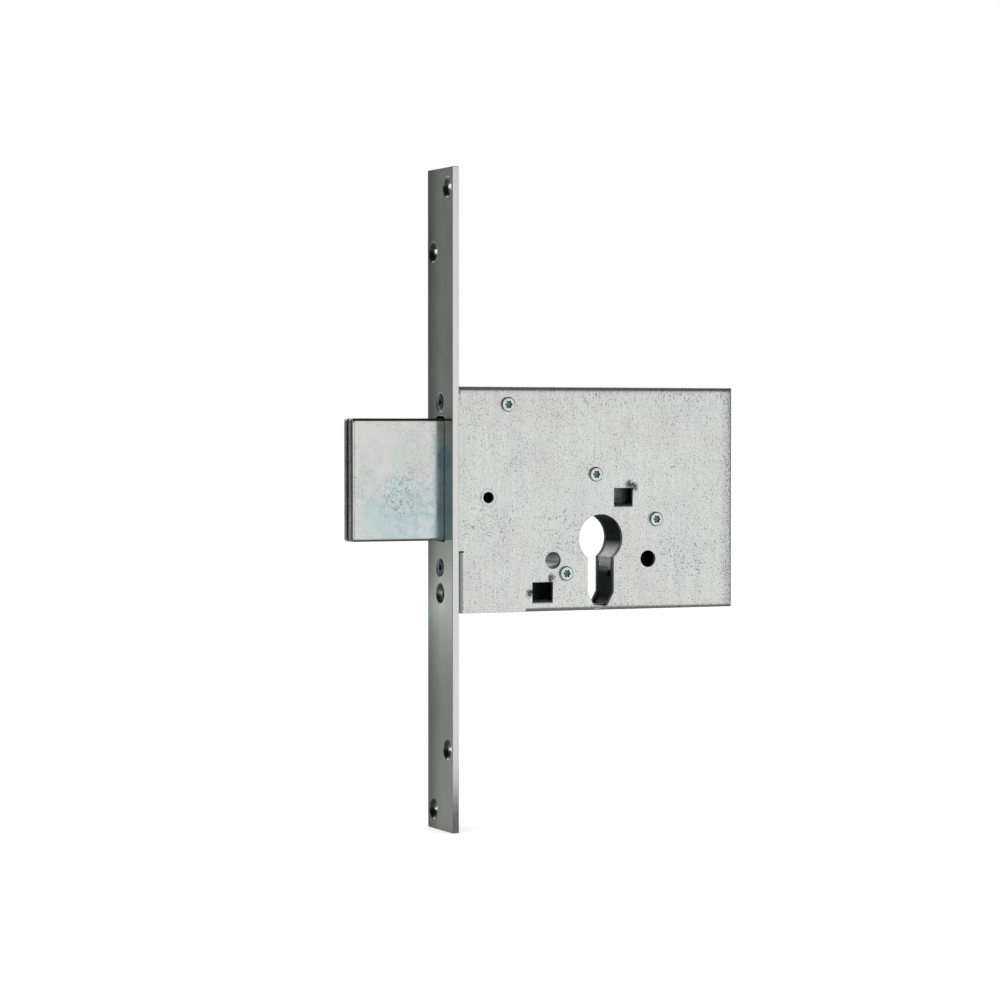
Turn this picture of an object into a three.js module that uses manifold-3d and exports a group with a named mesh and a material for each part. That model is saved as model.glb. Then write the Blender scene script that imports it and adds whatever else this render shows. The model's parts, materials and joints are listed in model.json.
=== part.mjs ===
// Mortise deadlock for a profile cylinder: a laminated square bolt with a two-turn throw of 35 mm,
// driven by a slotted ring gear, two idlers, a transfer wheel and a rack on the bolt's tail.
// Millimetres. X = 0 is the forend's front face and +X goes into the door, Y = 0 is the middle of the
// lock's thickness, Z = 0 is the cylinder's axis and +Z is up. The screwed side faces -Y.
import * as THREE from "three";
import { mergeVertices } from "three/addons/utils/BufferGeometryUtils.js";
import Module from "manifold-3d";

const wasm = await Module();
wasm.setup();

// Forend
const FOREND_LENGTH = 235;
const FOREND_WIDTH = 22;
const FOREND_THICKNESS = 2.5;
const FOREND_TOP = 131.8;
const DOOR_HOLE_RADIUS = 2.25;
const DOOR_SINK_RADIUS = 3.7;
const DOOR_HOLE_OFFSET = 6.2;
const DOOR_HOLE_OUTER_INSET = 7;
const DOOR_HOLE_INNER_INSET = 29.3;
const CYLINDER_SCREW_RADIUS = 2.75;
const CYLINDER_SCREW_SINK = 3.6;
const CYLINDER_SCREW_DROP = 18.95;

// Case
const CASE_DEPTH = 111.6;
const CASE_HEIGHT = 80.4;
const CASE_TOP = 54.5;
const CASE_WIDTH = 15;
const SHEET = 1.5;
const CASE_BEND_RADIUS = 1.75;
const PLAIN_EDGE_LENGTH = 27.5;
const WALL_SEAM = 0.3;
const COVER_CLEARANCE = 0.1;
const SIGHT_HOLE_RADIUS = 2;
const SIGHT_HOLE_SETBACK = 13;
const SIGHT_HOLE_RISE = 15.1;

// Lugs that hold the forend
const UPPER_LUG_DEPTH = 9.9;
const UPPER_RELIEF = 2.3;
const LOWER_LUG_SETBACK = 2;
const LOWER_LUG_TOP = -3.8;
const LUG_RELIEF = 0.5;
const LUG_TO_COVER = 0.3;

// Cylinder passage
const BACKSET = 60;
const PASSAGE_RADIUS = 8.65;
const PASSAGE_WEB = 10.4;
const PASSAGE_FLAT = 4;
const PASSAGE_CHAMFER = 6.1;
const PASSAGE_TO_CASE_BOTTOM = 0.3;
const PASSAGE_WALL_RELIEF = 0.7;

// Rose fixing holes
const ROSE_SPACING = 38.2;
const ROSE_DROP = 7.65;
const ROSE_HOLE_RADIUS = 3;
const BUSH_WALL = 0.6;

// Windows left by the tabs that are bent in from the case's face
const UPPER_WINDOW = { right: 9.1, rise: 12.4, width: 7.6, height: 5.7, tab: 0.8 };
const LOWER_WINDOW = { right: -23.2, lift: 4.1, width: 8.1, height: 6.4, tab: 5 };

// Bolt
const BOLT_THROW = 35;
const BOLT_PROUD = 0.3;
const BOLT_HEIGHT = 43.3;
const BOLT_RISE = -0.1;
const OUTER_PLATE = 2.75;
const CORE_PLATE = 2;
const CORE_RECESS = 1.5;
const BOLT_CORNER = 0.7;
const BOLT_OUTLINE_CORNER = 1.2;
const BOLT_SIDE_CLEARANCE = 0.25;
const BOLT_TOP_CLEARANCE = 0.8;
const BOLT_BOTTOM_CLEARANCE = 0.35;
const BOLT_HOLE_CORNER = 1.4;
const BOLT_TO_RING = 1;
const RIVET_RADIUS = 2.4;
const RIVET_FIT = 0.05;
const RIVET_DEPTH_IN_NEAR_PLATE = 1.5;
const RIVET_EDGE = 8.5;
const TAIL_TOP_INSET = 2.2;
const TAIL_STOP_GAP = 0.5;

// Bolt guides, guide stud and drag spring
const GUIDE_LENGTH = 8.3;
const GUIDE_SIDE_GAP = 0.2;
const GUIDE_OVERHANG = 0.8;
const GUIDE_TO_FOREND = 1.7;
const STUD_RADIUS = 2.5;
const STUD_TO_CYLINDER = 10;
const STUD_BELOW_TAIL_TOP = 6;
const STUD_FIT = 0.1;
const STUD_SHOULDER_RADIUS = 3.8;
const SPRING_THICKNESS = 0.5;
const SPRING_WIDTH = 2.2;
const SPRING_SPAN = 32;
const SPRING_GAP = 0.3;
const SPRING_TO_TAIL_END = 11.7;

// Gears
const PRESSURE_ANGLE = THREE.MathUtils.degToRad(25);
const ADDENDUM = 0.8;
const DEDENDUM = 1;
const BACKLASH = 0.16;
const FLANK_STEPS = 2;
const RING_TEETH = 18;
const IDLER_TEETH = 13;
const PRIMARY_MODULE = 1.5;
const IDLER_PINION_TEETH = 9;
const WHEEL_TEETH = 25;
const SECONDARY_MODULE = 1;
const RACK_PINION_TEETH = 11;
const TURNS_PER_THROW = 2;
const UPPER_IDLER_ANGLE = THREE.MathUtils.degToRad(95.3);
const REAR_IDLER_ANGLE = THREE.MathUtils.degToRad(16.8);
const PRIMARY_THICKNESS = 2.6;
const WHEEL_THICKNESS = 2.45;
const RACK_PINION_OVERHANG = 0.5;
const LAYER_GAP = 0.3;
const WHEEL_TO_TAIL = 0.4;
const RUNNING_FIT = 0.05;
const PRESS_FIT = 0.05;
const END_PLAY = 0.2;

// Driver ring and its bearings
const RING_JOURNAL_RADIUS = 10.2;
const RING_SHOULDER_RADIUS = 11.9;
const RING_END_GAP = 0.15;
const RING_BEARING_WIDTH = 2.5;
const RING_BEARING_THICKNESS = 0.9;
const RING_BEARING_FIT = 0.1;
const RING_BEARING_WINDOW_GAP = 0.4;

// Guides beside the lower part of the cylinder passage
const PASSAGE_GUIDE_WALL = 1;
const PASSAGE_GUIDE_GAP = 0.25;
const PASSAGE_GUIDE_LIFT = 0.6;

// Pillars, axles, washers and clips
const PILLAR_RADIUS = 3;
const AXLE_RADIUS = 2.5;
const AXLE_SHOULDER_RADIUS = 3.1;
const RIVET_END_RADIUS = 2;
const FRONT_PILLAR_SETBACK = 20.5;
const FRONT_PILLAR_DROP = 6.3;
const LOWER_PILLAR_LEFT = 14;
const LOWER_PILLAR_DROP = 12.4;
const WASHER_RADIUS = 4.5;
const CLIP_RADIUS = 4;
const CLIP_THICKNESS = 0.5;
const CLIP_TO_END = 0.4;
const CLIP_MOUTH_SHARE = 0.8;
const PINION_SPIGOT_WALL = 1.35;
const TRANSFER_SHOULDER_RADIUS = 3.6;

// Screws
const THREAD_RADIUS = 1.25;
const THREAD_FIT = 0.05;
const CASE_SCREW_HOLE_RADIUS = 1.6;
const CASE_SCREW_LENGTH = 8;
const CASE_SCREW_HEAD_RADIUS = 2.65;
const CASE_SCREW_HEAD_HEIGHT = 1;
const FOREND_THREAD_RADIUS = 1.9;
const FOREND_SCREW_LENGTH = 9;
const FOREND_HEAD_RADIUS = 3.3;
const FOREND_HEAD_RECESS = 0.15;
const UPPER_FOREND_SCREW = 48.95;
const LOWER_FOREND_SCREW = -9.8;
const SINK_DEPTH = 1.5;
const STAR_RADIUS = 1.15;
const STAR_LOBE = 0.2;
const STAR_DEPTH = 0.8;

// Smoothness of round shapes
const PIN_SIDES = 20;
const HOLE_SIDES = 36;
const RING_SIDES = 60;
const PASSAGE_STEPS = 48;
const STAR_STEPS = 36;
const BEND_STEPS = 6;
const SPRING_STEPS = 16;
const CUT_MARGIN = 1;

// Places and sizes that follow from the values above
const forendBottom = FOREND_TOP - FOREND_LENGTH;
const caseFront = FOREND_THICKNESS;
const caseBack = caseFront + CASE_DEPTH;
const caseBottom = CASE_TOP - CASE_HEIGHT;
const passageBottom = caseBottom + PASSAGE_TO_CASE_BOTTOM;
const passageShoulder = passageBottom + PASSAGE_CHAMFER;
const lowerWindow = { ...LOWER_WINDOW, rise: caseBottom + LOWER_WINDOW.lift };
const farFace = CASE_WIDTH / 2;
const nearFace = -farFace;
const nearInside = nearFace + SHEET;
const farInside = farFace - SHEET;

const ringPitchRadius = (PRIMARY_MODULE * RING_TEETH) / 2;
const ringTipRadius = ringPitchRadius + ADDENDUM * PRIMARY_MODULE;
const rackPinionRadius = (() => {
  const wheelTurns = (RING_TEETH / IDLER_TEETH) * (IDLER_PINION_TEETH / WHEEL_TEETH);
  return BOLT_THROW / (2 * Math.PI * TURNS_PER_THROW * wheelTurns);
})();
const rackModule = (2 * rackPinionRadius) / RACK_PINION_TEETH;

const boltBottom = BOLT_RISE;
const boltTop = boltBottom + BOLT_HEIGHT;
const boltHalf = OUTER_PLATE + CORE_PLATE / 2;
const boltFront = -BOLT_THROW - BOLT_PROUD;
const boltRear = BACKSET - ringTipRadius - BOLT_TO_RING - BOLT_THROW;
const tailNear = CORE_PLATE / 2;
const tailFar = boltHalf;
const tailTop = boltTop - TAIL_TOP_INSET;
const tailRear = caseBack - SHEET - TAIL_STOP_GAP - BOLT_THROW;

const wheelFar = tailNear - WHEEL_TO_TAIL;
const wheelNear = wheelFar - WHEEL_THICKNESS;
const primaryFar = wheelNear - LAYER_GAP;
const primaryNear = primaryFar - PRIMARY_THICKNESS;
const rackPinionFar = tailFar + RACK_PINION_OVERHANG;

const polar = (centre, radius, angle) => ({
  x: centre.x + radius * Math.cos(angle),
  z: centre.z + radius * Math.sin(angle),
});
const cylinder = { x: BACKSET, z: 0 };
const idlerDistance = (PRIMARY_MODULE * (RING_TEETH + IDLER_TEETH)) / 2;
const upperIdler = polar(cylinder, idlerDistance, UPPER_IDLER_ANGLE);
const rearIdler = polar(cylinder, idlerDistance, REAR_IDLER_ANGLE);

// The transfer wheel lies on the line that halves the angle between the idlers, on its far crossing
// with the circle of the wheel's centre distance about either idler.
const transfer = (() => {
  const half = (UPPER_IDLER_ANGLE - REAR_IDLER_ANGLE) / 2;
  const reach = (SECONDARY_MODULE * (IDLER_PINION_TEETH + WHEEL_TEETH)) / 2;
  const along = idlerDistance * Math.cos(half);
  const across = idlerDistance * Math.sin(half);
  return polar(cylinder, along + Math.sqrt(reach ** 2 - across ** 2), REAR_IDLER_ANGLE + half);
})();
const rackLine = transfer.z + rackPinionRadius;

const forendScrewHeights = [UPPER_FOREND_SCREW, LOWER_FOREND_SCREW];
const frontPillar = { x: caseFront + FRONT_PILLAR_SETBACK, z: CASE_TOP - FRONT_PILLAR_DROP };
const lowerPillar = { x: BACKSET - LOWER_PILLAR_LEFT, z: -LOWER_PILLAR_DROP };
const pillarPlaces = [frontPillar, upperIdler, rearIdler, lowerPillar];
const sightHole = { x: caseFront + SIGHT_HOLE_SETBACK, z: SIGHT_HOLE_RISE };
const lowerLugFront = caseFront + LOWER_LUG_SETBACK;
const leftRoseHole = { x: BACKSET - ROSE_SPACING / 2, z: -ROSE_DROP };
const rightRoseHole = { x: BACKSET + ROSE_SPACING / 2, z: -ROSE_DROP };
const guideStud = { x: BACKSET - STUD_TO_CYLINDER, z: tailTop - STUD_BELOW_TAIL_TOP };

// Materials
const steel = (color, roughness, metalness = 0.9) =>
  new THREE.MeshStandardMaterial({ color, roughness, metalness });
const zincSheet = steel(0xd4d6d4, 0.45);
const zincForend = steel(0xcfd3cf, 0.35);
const zincBolt = steel(0xd4d6d3, 0.35);
const blueZinc = steel(0xb4c6c8, 0.3);
const blackRing = steel(0x17191a, 0.35, 0.4);
const sinteredSteel = steel(0x6f7376, 0.5);
const turnedSteel = steel(0x9a9ea0, 0.35);
const springSteel = steel(0x4b5058, 0.35);

// Outlines
const point = (x, y) => new THREE.Vector2(x, y);

function arc(cx, cy, radius, from, to, steps) {
  return Array.from({ length: steps + 1 }, (_, i) => {
    const angle = from + ((to - from) * i) / steps;
    return point(cx + radius * Math.cos(angle), cy + radius * Math.sin(angle));
  });
}

function circle(cx, cy, radius, sides = PIN_SIDES) {
  return arc(cx, cy, radius, 0, 2 * Math.PI, sides).slice(0, sides);
}

function rectangle(x0, y0, x1, y1) {
  return [point(x0, y0), point(x1, y0), point(x1, y1), point(x0, y1)];
}

function star(cx, cy) {
  return Array.from({ length: STAR_STEPS }, (_, i) => {
    const angle = (2 * Math.PI * i) / STAR_STEPS;
    const radius = STAR_RADIUS + STAR_LOBE * Math.cos(6 * angle);
    return point(cx + radius * Math.cos(angle), cy + radius * Math.sin(angle));
  });
}

// The cylinder passage: a circle on the axis with a web below it whose foot is drawn in to a flat.
function passage(bottom = passageBottom) {
  const halfWeb = PASSAGE_WEB / 2;
  const halfFlat = PASSAGE_FLAT / 2;
  const neck = Math.asin(halfWeb / PASSAGE_RADIUS);
  return [
    ...arc(BACKSET, 0, PASSAGE_RADIUS, neck - Math.PI / 2, 1.5 * Math.PI - neck, PASSAGE_STEPS),
    point(BACKSET - halfWeb, passageShoulder),
    point(BACKSET - halfFlat, bottom),
    point(BACKSET + halfFlat, bottom),
    point(BACKSET + halfWeb, passageShoulder),
  ];
}

// An involute gear's outline about its own centre, with one tooth centred at the angle phase.
function gearOutline(teeth, module, phase) {
  const pitchRadius = (module * teeth) / 2;
  const baseRadius = pitchRadius * Math.cos(PRESSURE_ANGLE);
  const rootRadius = pitchRadius - DEDENDUM * module;
  const tipRadius = pitchRadius + ADDENDUM * module;
  const flankStart = Math.max(baseRadius, rootRadius);
  const involute = (angle) => Math.tan(angle) - angle;
  const halfTooth = Math.PI / (2 * teeth) - BACKLASH / (4 * pitchRadius) + involute(PRESSURE_ANGLE);
  const flank = Array.from({ length: FLANK_STEPS + 1 }, (_, i) => {
    const radius = flankStart + ((tipRadius - flankStart) * i) / FLANK_STEPS;
    return { radius, angle: halfTooth - involute(Math.acos(baseRadius / radius)) };
  });
  if (rootRadius < flankStart) flank.unshift({ radius: rootRadius, angle: flank[0].angle });
  const outline = [];
  for (let tooth = 0; tooth < teeth; tooth++) {
    const centre = phase + (2 * Math.PI * tooth) / teeth;
    const rising = flank.map(({ radius, angle }) => [radius, centre - angle]);
    const falling = flank.map(({ radius, angle }) => [radius, centre + angle]).reverse();
    for (const [radius, angle] of [...rising, ...falling])
      outline.push(point(radius * Math.cos(angle), radius * Math.sin(angle)));
  }
  return outline;
}

// The phase of gear B that meshes with gear A, where the line from A's centre to B's has the angle.
function meshPhase(phaseA, teethA, angle, teethB) {
  const pastTooth = ((angle - phaseA) * teethA) / (2 * Math.PI);
  return angle + Math.PI - ((0.5 - pastTooth) * 2 * Math.PI) / teethB;
}

// Solids
function toSolid(geometry) {
  const bare = geometry.index ? geometry.toNonIndexed() : geometry.clone();
  bare.deleteAttribute("normal");
  bare.deleteAttribute("uv");
  const merged = mergeVertices(bare, 1e-4);
  const vertProperties = merged.getAttribute("position").array;
  const triVerts = new Uint32Array(merged.index.array);
  return new wasm.Manifold(new wasm.Mesh({ numProp: 3, vertProperties, triVerts }));
}

function toGeometry(solid) {
  const { vertProperties, triVerts } = solid.getMesh();
  const indexed = new THREE.BufferGeometry();
  indexed.setAttribute("position", new THREE.BufferAttribute(vertProperties, 3));
  indexed.setIndex(new THREE.BufferAttribute(triVerts, 1));
  const geometry = indexed.toNonIndexed();
  geometry.computeVertexNormals();
  return geometry;
}

const join = (...solids) => solids.reduce((whole, piece) => whole.add(piece));
const cut = (solid, ...tools) => tools.reduce((rest, tool) => rest.subtract(tool), solid);

const xAxis = new THREE.Vector3(1, 0, 0);
const yAxis = new THREE.Vector3(0, 1, 0);
const zAxis = new THREE.Vector3(0, 0, 1);

function extruded(outline, depth, right, up, along, start) {
  const shape = new THREE.Shape(outline);
  const geometry = new THREE.ExtrudeGeometry(shape, { depth, bevelEnabled: false });
  geometry.applyMatrix4(new THREE.Matrix4().makeBasis(right, up, along));
  geometry.translate(start.x, start.y, start.z);
  return toSolid(geometry);
}

// A plate with its outline in X and Z, from yNear to yFar.
function plateY(outline, yNear, yFar) {
  const start = new THREE.Vector3(0, yFar, 0);
  return extruded(outline, yFar - yNear, xAxis, zAxis, yAxis.clone().negate(), start);
}

// A bar with its outline in Y and Z, from x0 to x1.
function barX(outline, x0, x1) {
  return extruded(outline, x1 - x0, yAxis, zAxis, xAxis, new THREE.Vector3(x0, 0, 0));
}

// A bar with its outline in X and Y, from z0 to z1.
function barZ(outline, z0, z1) {
  return extruded(outline, z1 - z0, xAxis, yAxis, zAxis, new THREE.Vector3(0, 0, z0));
}

function block(x0, x1, y0, y1, z0, z1) {
  return plateY(rectangle(x0, z0, x1, z1), y0, y1);
}

// A round pin or hole along Y.
function pinY(centre, radius, yNear, yFar, sides = PIN_SIDES) {
  return plateY(circle(centre.x, centre.z, radius, sides), yNear, yFar);
}

// A cone along X about the line at y and z, from radius r0 at x0 to radius r1 at x1.
function coneX(y, z, x0, r0, x1, r1) {
  const geometry = new THREE.CylinderGeometry(r1, r0, x1 - x0, HOLE_SIDES);
  geometry.applyMatrix4(new THREE.Matrix4().makeBasis(yAxis, xAxis, zAxis.clone().negate()));
  geometry.translate((x0 + x1) / 2, y, z);
  return toSolid(geometry);
}

const origin = { x: 0, z: 0 };

const lock = new THREE.Group();

function place(name, solid, material, at = origin) {
  const mesh = new THREE.Mesh(toGeometry(solid), material);
  mesh.name = name;
  mesh.position.set(at.x, 0, at.z);
  lock.add(mesh);
}

// A countersunk hole through the forend.
function sunkHole(y, z, radius, sinkRadius) {
  const past = FOREND_THICKNESS + CUT_MARGIN;
  const spread = (sinkRadius - radius) / SINK_DEPTH;
  return join(
    coneX(y, z, -CUT_MARGIN, sinkRadius + spread * CUT_MARGIN, SINK_DEPTH, radius),
    coneX(y, z, SINK_DEPTH - RUNNING_FIT, radius, past, radius),
  );
}

// The bolt's hole in the forend, with its two upper corners rounded.
function boltHole() {
  const radius = BOLT_HOLE_CORNER;
  const half = boltHalf + BOLT_SIDE_CLEARANCE;
  const bottom = boltBottom - BOLT_BOTTOM_CLEARANCE;
  const cornerRise = boltTop + BOLT_TOP_CLEARANCE - radius;
  const outline = [
    point(-half, bottom),
    point(half, bottom),
    ...arc(half - radius, cornerRise, radius, 0, Math.PI / 2, BEND_STEPS),
    ...arc(radius - half, cornerRise, radius, Math.PI / 2, Math.PI, BEND_STEPS),
  ];
  return barX(outline, -CUT_MARGIN, FOREND_THICKNESS + CUT_MARGIN);
}

function forendPlate() {
  const halfWidth = FOREND_WIDTH / 2;
  const plate = block(0, FOREND_THICKNESS, -halfWidth, halfWidth, forendBottom, FOREND_TOP);
  const doorHoles = [
    [-DOOR_HOLE_OFFSET, FOREND_TOP - DOOR_HOLE_OUTER_INSET],
    [DOOR_HOLE_OFFSET, FOREND_TOP - DOOR_HOLE_INNER_INSET],
    [-DOOR_HOLE_OFFSET, forendBottom + DOOR_HOLE_INNER_INSET],
    [DOOR_HOLE_OFFSET, forendBottom + DOOR_HOLE_OUTER_INSET],
  ].map(([y, z]) => sunkHole(y, z, DOOR_HOLE_RADIUS, DOOR_SINK_RADIUS));
  const headSink = FOREND_HEAD_RADIUS + THREAD_FIT;
  const shankHole = FOREND_THREAD_RADIUS + THREAD_FIT;
  const screwHoles = forendScrewHeights.map((z) => sunkHole(0, z, shankHole, headSink));
  const cylinderHole = sunkHole(0, -CYLINDER_SCREW_DROP, CYLINDER_SCREW_RADIUS, CYLINDER_SCREW_SINK);
  return cut(plate, boltHole(), ...doorHoles, ...screwHoles, cylinderHole);
}

// The folded tray's outer or inner form: rounded along its top, back and bottom edges.
function trayForm(inset, radius, front, far) {
  const near = nearFace + inset;
  const top = CASE_TOP - inset;
  const bottom = caseBottom + inset;
  const back = caseBack - inset;
  const section = [
    point(far, top),
    ...arc(near + radius, top - radius, radius, Math.PI / 2, Math.PI, BEND_STEPS),
    ...arc(near + radius, bottom + radius, radius, Math.PI, 1.5 * Math.PI, BEND_STEPS),
    point(far, bottom),
  ];
  const plan = [
    point(front, near),
    ...arc(back - radius, near + radius, radius, -Math.PI / 2, 0, BEND_STEPS),
    point(back, far),
    point(front, far),
  ];
  const lengthwise = barX(section, front, back + CUT_MARGIN);
  return lengthwise.intersect(barZ(plan, bottom - CUT_MARGIN, top + CUT_MARGIN));
}

// A window in the near face, and the tab that is bent in from it along its lower edge.
function windowBox({ right, rise, width, height }) {
  const x0 = BACKSET + right - width / 2;
  return { x0, x1: x0 + width, z0: rise, z1: rise + height };
}

function windowCut(opening) {
  const { x0, x1, z0, z1 } = windowBox(opening);
  return block(x0, x1, nearFace - CUT_MARGIN, nearInside + CUT_MARGIN, z0 - SHEET, z1);
}

function windowTab(opening) {
  const { x0, x1, z0 } = windowBox(opening);
  const end = nearInside + opening.tab;
  const section = [
    point(nearFace, z0 - SHEET),
    point(nearInside, z0 - SHEET),
    point(end, z0 - SHEET),
    point(end, z0),
    ...arc(nearInside, z0 - SHEET, SHEET, Math.PI / 2, Math.PI, BEND_STEPS).slice(0, -1),
  ];
  return barX(section, x0, x1);
}

// The lower lug: the near face's front end bent in behind the forend, with its outer bend rounded.
function lowerLug() {
  const inner = lowerLugFront + SHEET;
  const end = farInside - LUG_TO_COVER;
  const plan = [
    point(inner + CUT_MARGIN, nearFace),
    point(inner + CUT_MARGIN, nearInside),
    point(inner, nearInside),
    point(inner, end),
    point(lowerLugFront, end),
    ...arc(inner, nearInside, SHEET, Math.PI, 1.5 * Math.PI, BEND_STEPS),
  ];
  return barZ(plan, caseBottom, LOWER_LUG_TOP - LUG_RELIEF);
}

// A box that cuts through the whole case in Y, from x0 to x1 and z0 to z1.
function slice(x0, x1, z0, z1) {
  return block(x0, x1, nearFace - CUT_MARGIN, farFace + CUT_MARGIN, z0, z1);
}

// The folded tray without lugs or holes. Its bottom is a plain cut edge next to the forend, and
// seams part the back wall from the top and bottom walls.
function tray() {
  const hollowRadius = Math.max(CASE_BEND_RADIUS - SHEET, 0.1);
  const outer = trayForm(0, CASE_BEND_RADIUS, caseFront, farFace);
  const hollow = trayForm(SHEET, hollowRadius, caseFront - CUT_MARGIN, farFace + CUT_MARGIN);
  const plainEnd = caseFront + PLAIN_EDGE_LENGTH;
  const edgeTop = caseBottom + Math.max(CASE_BEND_RADIUS, SHEET);
  const plainCut = slice(caseFront - CUT_MARGIN, plainEnd, caseBottom - CUT_MARGIN, edgeTop);
  const plainEdge = block(caseFront, plainEnd, nearFace, nearInside, caseBottom, edgeTop);
  const seamStart = nearFace + CASE_BEND_RADIUS + CUT_MARGIN;
  const seamEnd = farFace + CUT_MARGIN;
  const seamFront = caseBack - SHEET - CUT_MARGIN;
  const seams = [CASE_TOP - SHEET - WALL_SEAM, caseBottom + SHEET].map((z) =>
    block(seamFront, caseBack + CUT_MARGIN, seamStart, seamEnd, z, z + WALL_SEAM),
  );
  return cut(join(cut(outer, hollow, plainCut), plainEdge), ...seams);
}

// The upper lug: the top wall's front end bent down behind the forend.
function upperLug() {
  const yNear = nearInside + LUG_TO_COVER;
  const yFar = farInside - LUG_TO_COVER;
  const bottom = CASE_TOP - UPPER_LUG_DEPTH;
  return block(caseFront, caseFront + SHEET, yNear, yFar, bottom, CASE_TOP - SHEET / 2);
}

function caseBody() {
  const lugBack = lowerLugFront + SHEET;
  const front = caseFront - CUT_MARGIN;
  const faceNear = nearFace - CUT_MARGIN;
  const faceFar = nearInside + CUT_MARGIN;
  const reliefEnd = caseFront + UPPER_RELIEF - LUG_RELIEF;
  const reliefFar = nearInside + LUG_TO_COVER;
  const lowerCut = block(front, lugBack, faceNear, faceFar, caseBottom - CUT_MARGIN, LOWER_LUG_TOP);
  const reliefBottom = CASE_TOP - UPPER_RELIEF;
  const relief = block(front, reliefEnd, faceNear, reliefFar, reliefBottom, CASE_TOP + CUT_MARGIN);
  const lugged = join(cut(tray(), lowerCut, relief), upperLug(), lowerLug());

  const alongX = (z, radius) => coneX(0, z, front, radius, lugBack + CUT_MARGIN, radius);
  const through = (centre, radius) => pinY(centre, radius, faceNear, faceFar, HOLE_SIDES);
  const wallCut = caseBottom + SHEET - PASSAGE_WALL_RELIEF;
  const pierced = cut(
    lugged,
    plateY(passage(), faceNear, faceFar),
    plateY(passage(wallCut), nearInside, farFace + CUT_MARGIN),
    through(sightHole, SIGHT_HOLE_RADIUS),
    through(leftRoseHole, ROSE_HOLE_RADIUS),
    through(rightRoseHole, ROSE_HOLE_RADIUS),
    ...pillarPlaces.map((at) => through(at, CASE_SCREW_HOLE_RADIUS)),
    ...forendScrewHeights.map((z) => alongX(z, FOREND_THREAD_RADIUS + THREAD_FIT)),
    alongX(-CYLINDER_SCREW_DROP, CYLINDER_SCREW_RADIUS),
    windowCut(UPPER_WINDOW),
    windowCut(lowerWindow),
  );
  return join(pierced, windowTab(UPPER_WINDOW), windowTab(lowerWindow));
}

function coverPlate() {
  const bottom = caseBottom + SHEET + COVER_CLEARANCE;
  const top = CASE_TOP - SHEET - COVER_CLEARANCE;
  const back = caseBack - SHEET - COVER_CLEARANCE;
  const plate = block(caseFront, back, farInside, farFace, bottom, top);
  const yNear = farInside - CUT_MARGIN;
  const yFar = farFace + CUT_MARGIN;
  const rivetHole = RIVET_END_RADIUS + PRESS_FIT;
  return cut(
    plate,
    plateY(passage(), yNear, yFar),
    pinY(leftRoseHole, ROSE_HOLE_RADIUS, yNear, yFar, HOLE_SIDES),
    pinY(rightRoseHole, ROSE_HOLE_RADIUS, yNear, yFar, HOLE_SIDES),
    ...[...pillarPlaces, transfer, guideStud].map((at) => pinY(at, rivetHole, yNear, yFar)),
  );
}

// A pillar between the plates: riveted into the cover plate, tapped for a case screw.
function pillar() {
  const body = join(
    pinY(origin, PILLAR_RADIUS, nearInside, farInside),
    pinY(origin, RIVET_END_RADIUS, farInside - CUT_MARGIN, farFace),
  );
  return cut(body, tappedHole());
}

// A pillar that is also an idler's axle: its wide end holds the idler off the bolt's tail.
function idlerPillar() {
  const body = join(
    pinY(origin, AXLE_RADIUS, nearInside, farInside),
    pinY(origin, AXLE_SHOULDER_RADIUS, wheelFar + END_PLAY, farInside),
    pinY(origin, RIVET_END_RADIUS, farInside - CUT_MARGIN, farFace),
  );
  return cut(body, tappedHole());
}

function tappedHole() {
  const bottom = nearFace + CASE_SCREW_LENGTH + END_PLAY;
  return pinY(origin, THREAD_RADIUS + THREAD_FIT, nearInside - CUT_MARGIN, bottom);
}

function caseScrew() {
  const mouth = nearFace - CASE_SCREW_HEAD_HEIGHT;
  const head = pinY(origin, CASE_SCREW_HEAD_RADIUS, mouth, nearFace, HOLE_SIDES);
  const shank = pinY(origin, THREAD_RADIUS, (mouth + nearFace) / 2, nearFace + CASE_SCREW_LENGTH);
  const recess = plateY(star(0, 0), mouth - CUT_MARGIN, mouth + STAR_DEPTH);
  return cut(join(head, shank), recess);
}

function forendScrew() {
  const radius = FOREND_THREAD_RADIUS;
  const spread = (FOREND_HEAD_RADIUS - radius) / SINK_DEPTH;
  const mouthRadius = FOREND_HEAD_RADIUS - spread * FOREND_HEAD_RECESS;
  const head = coneX(0, 0, FOREND_HEAD_RECESS, mouthRadius, SINK_DEPTH, radius);
  const shank = coneX(0, 0, SINK_DEPTH / 2, radius, FOREND_SCREW_LENGTH, radius);
  const recess = barX(star(0, 0), -CUT_MARGIN, FOREND_HEAD_RECESS + STAR_DEPTH);
  return cut(join(head, shank), recess);
}

// One plate of the bolt's head between two depths. Its front end starts at x, and its front corner
// is rounded where the plate is an outer one.
function headPlate(x, yNear, yFar, nearCorner, farCorner) {
  const cx = x + BOLT_CORNER;
  const nearEnd = nearCorner
    ? arc(cx, yNear + BOLT_CORNER, BOLT_CORNER, Math.PI, 1.5 * Math.PI, BEND_STEPS)
    : [point(x, yNear)];
  const farEnd = farCorner
    ? arc(cx, yFar - BOLT_CORNER, BOLT_CORNER, Math.PI / 2, Math.PI, BEND_STEPS)
    : [point(x, yFar)];
  const plan = [...nearEnd, point(boltRear, yNear), point(boltRear, yFar), ...farEnd];
  const radius = BOLT_OUTLINE_CORNER;
  const outline = [
    point(boltRear, boltTop),
    ...arc(x + radius, boltTop - radius, radius, Math.PI / 2, Math.PI, BEND_STEPS),
    ...arc(x + radius, boltBottom + radius, radius, Math.PI, 1.5 * Math.PI, BEND_STEPS),
    point(boltRear, boltBottom),
  ];
  return barZ(plan, boltBottom, boltTop).intersect(plateY(outline, yNear, yFar));
}

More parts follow.
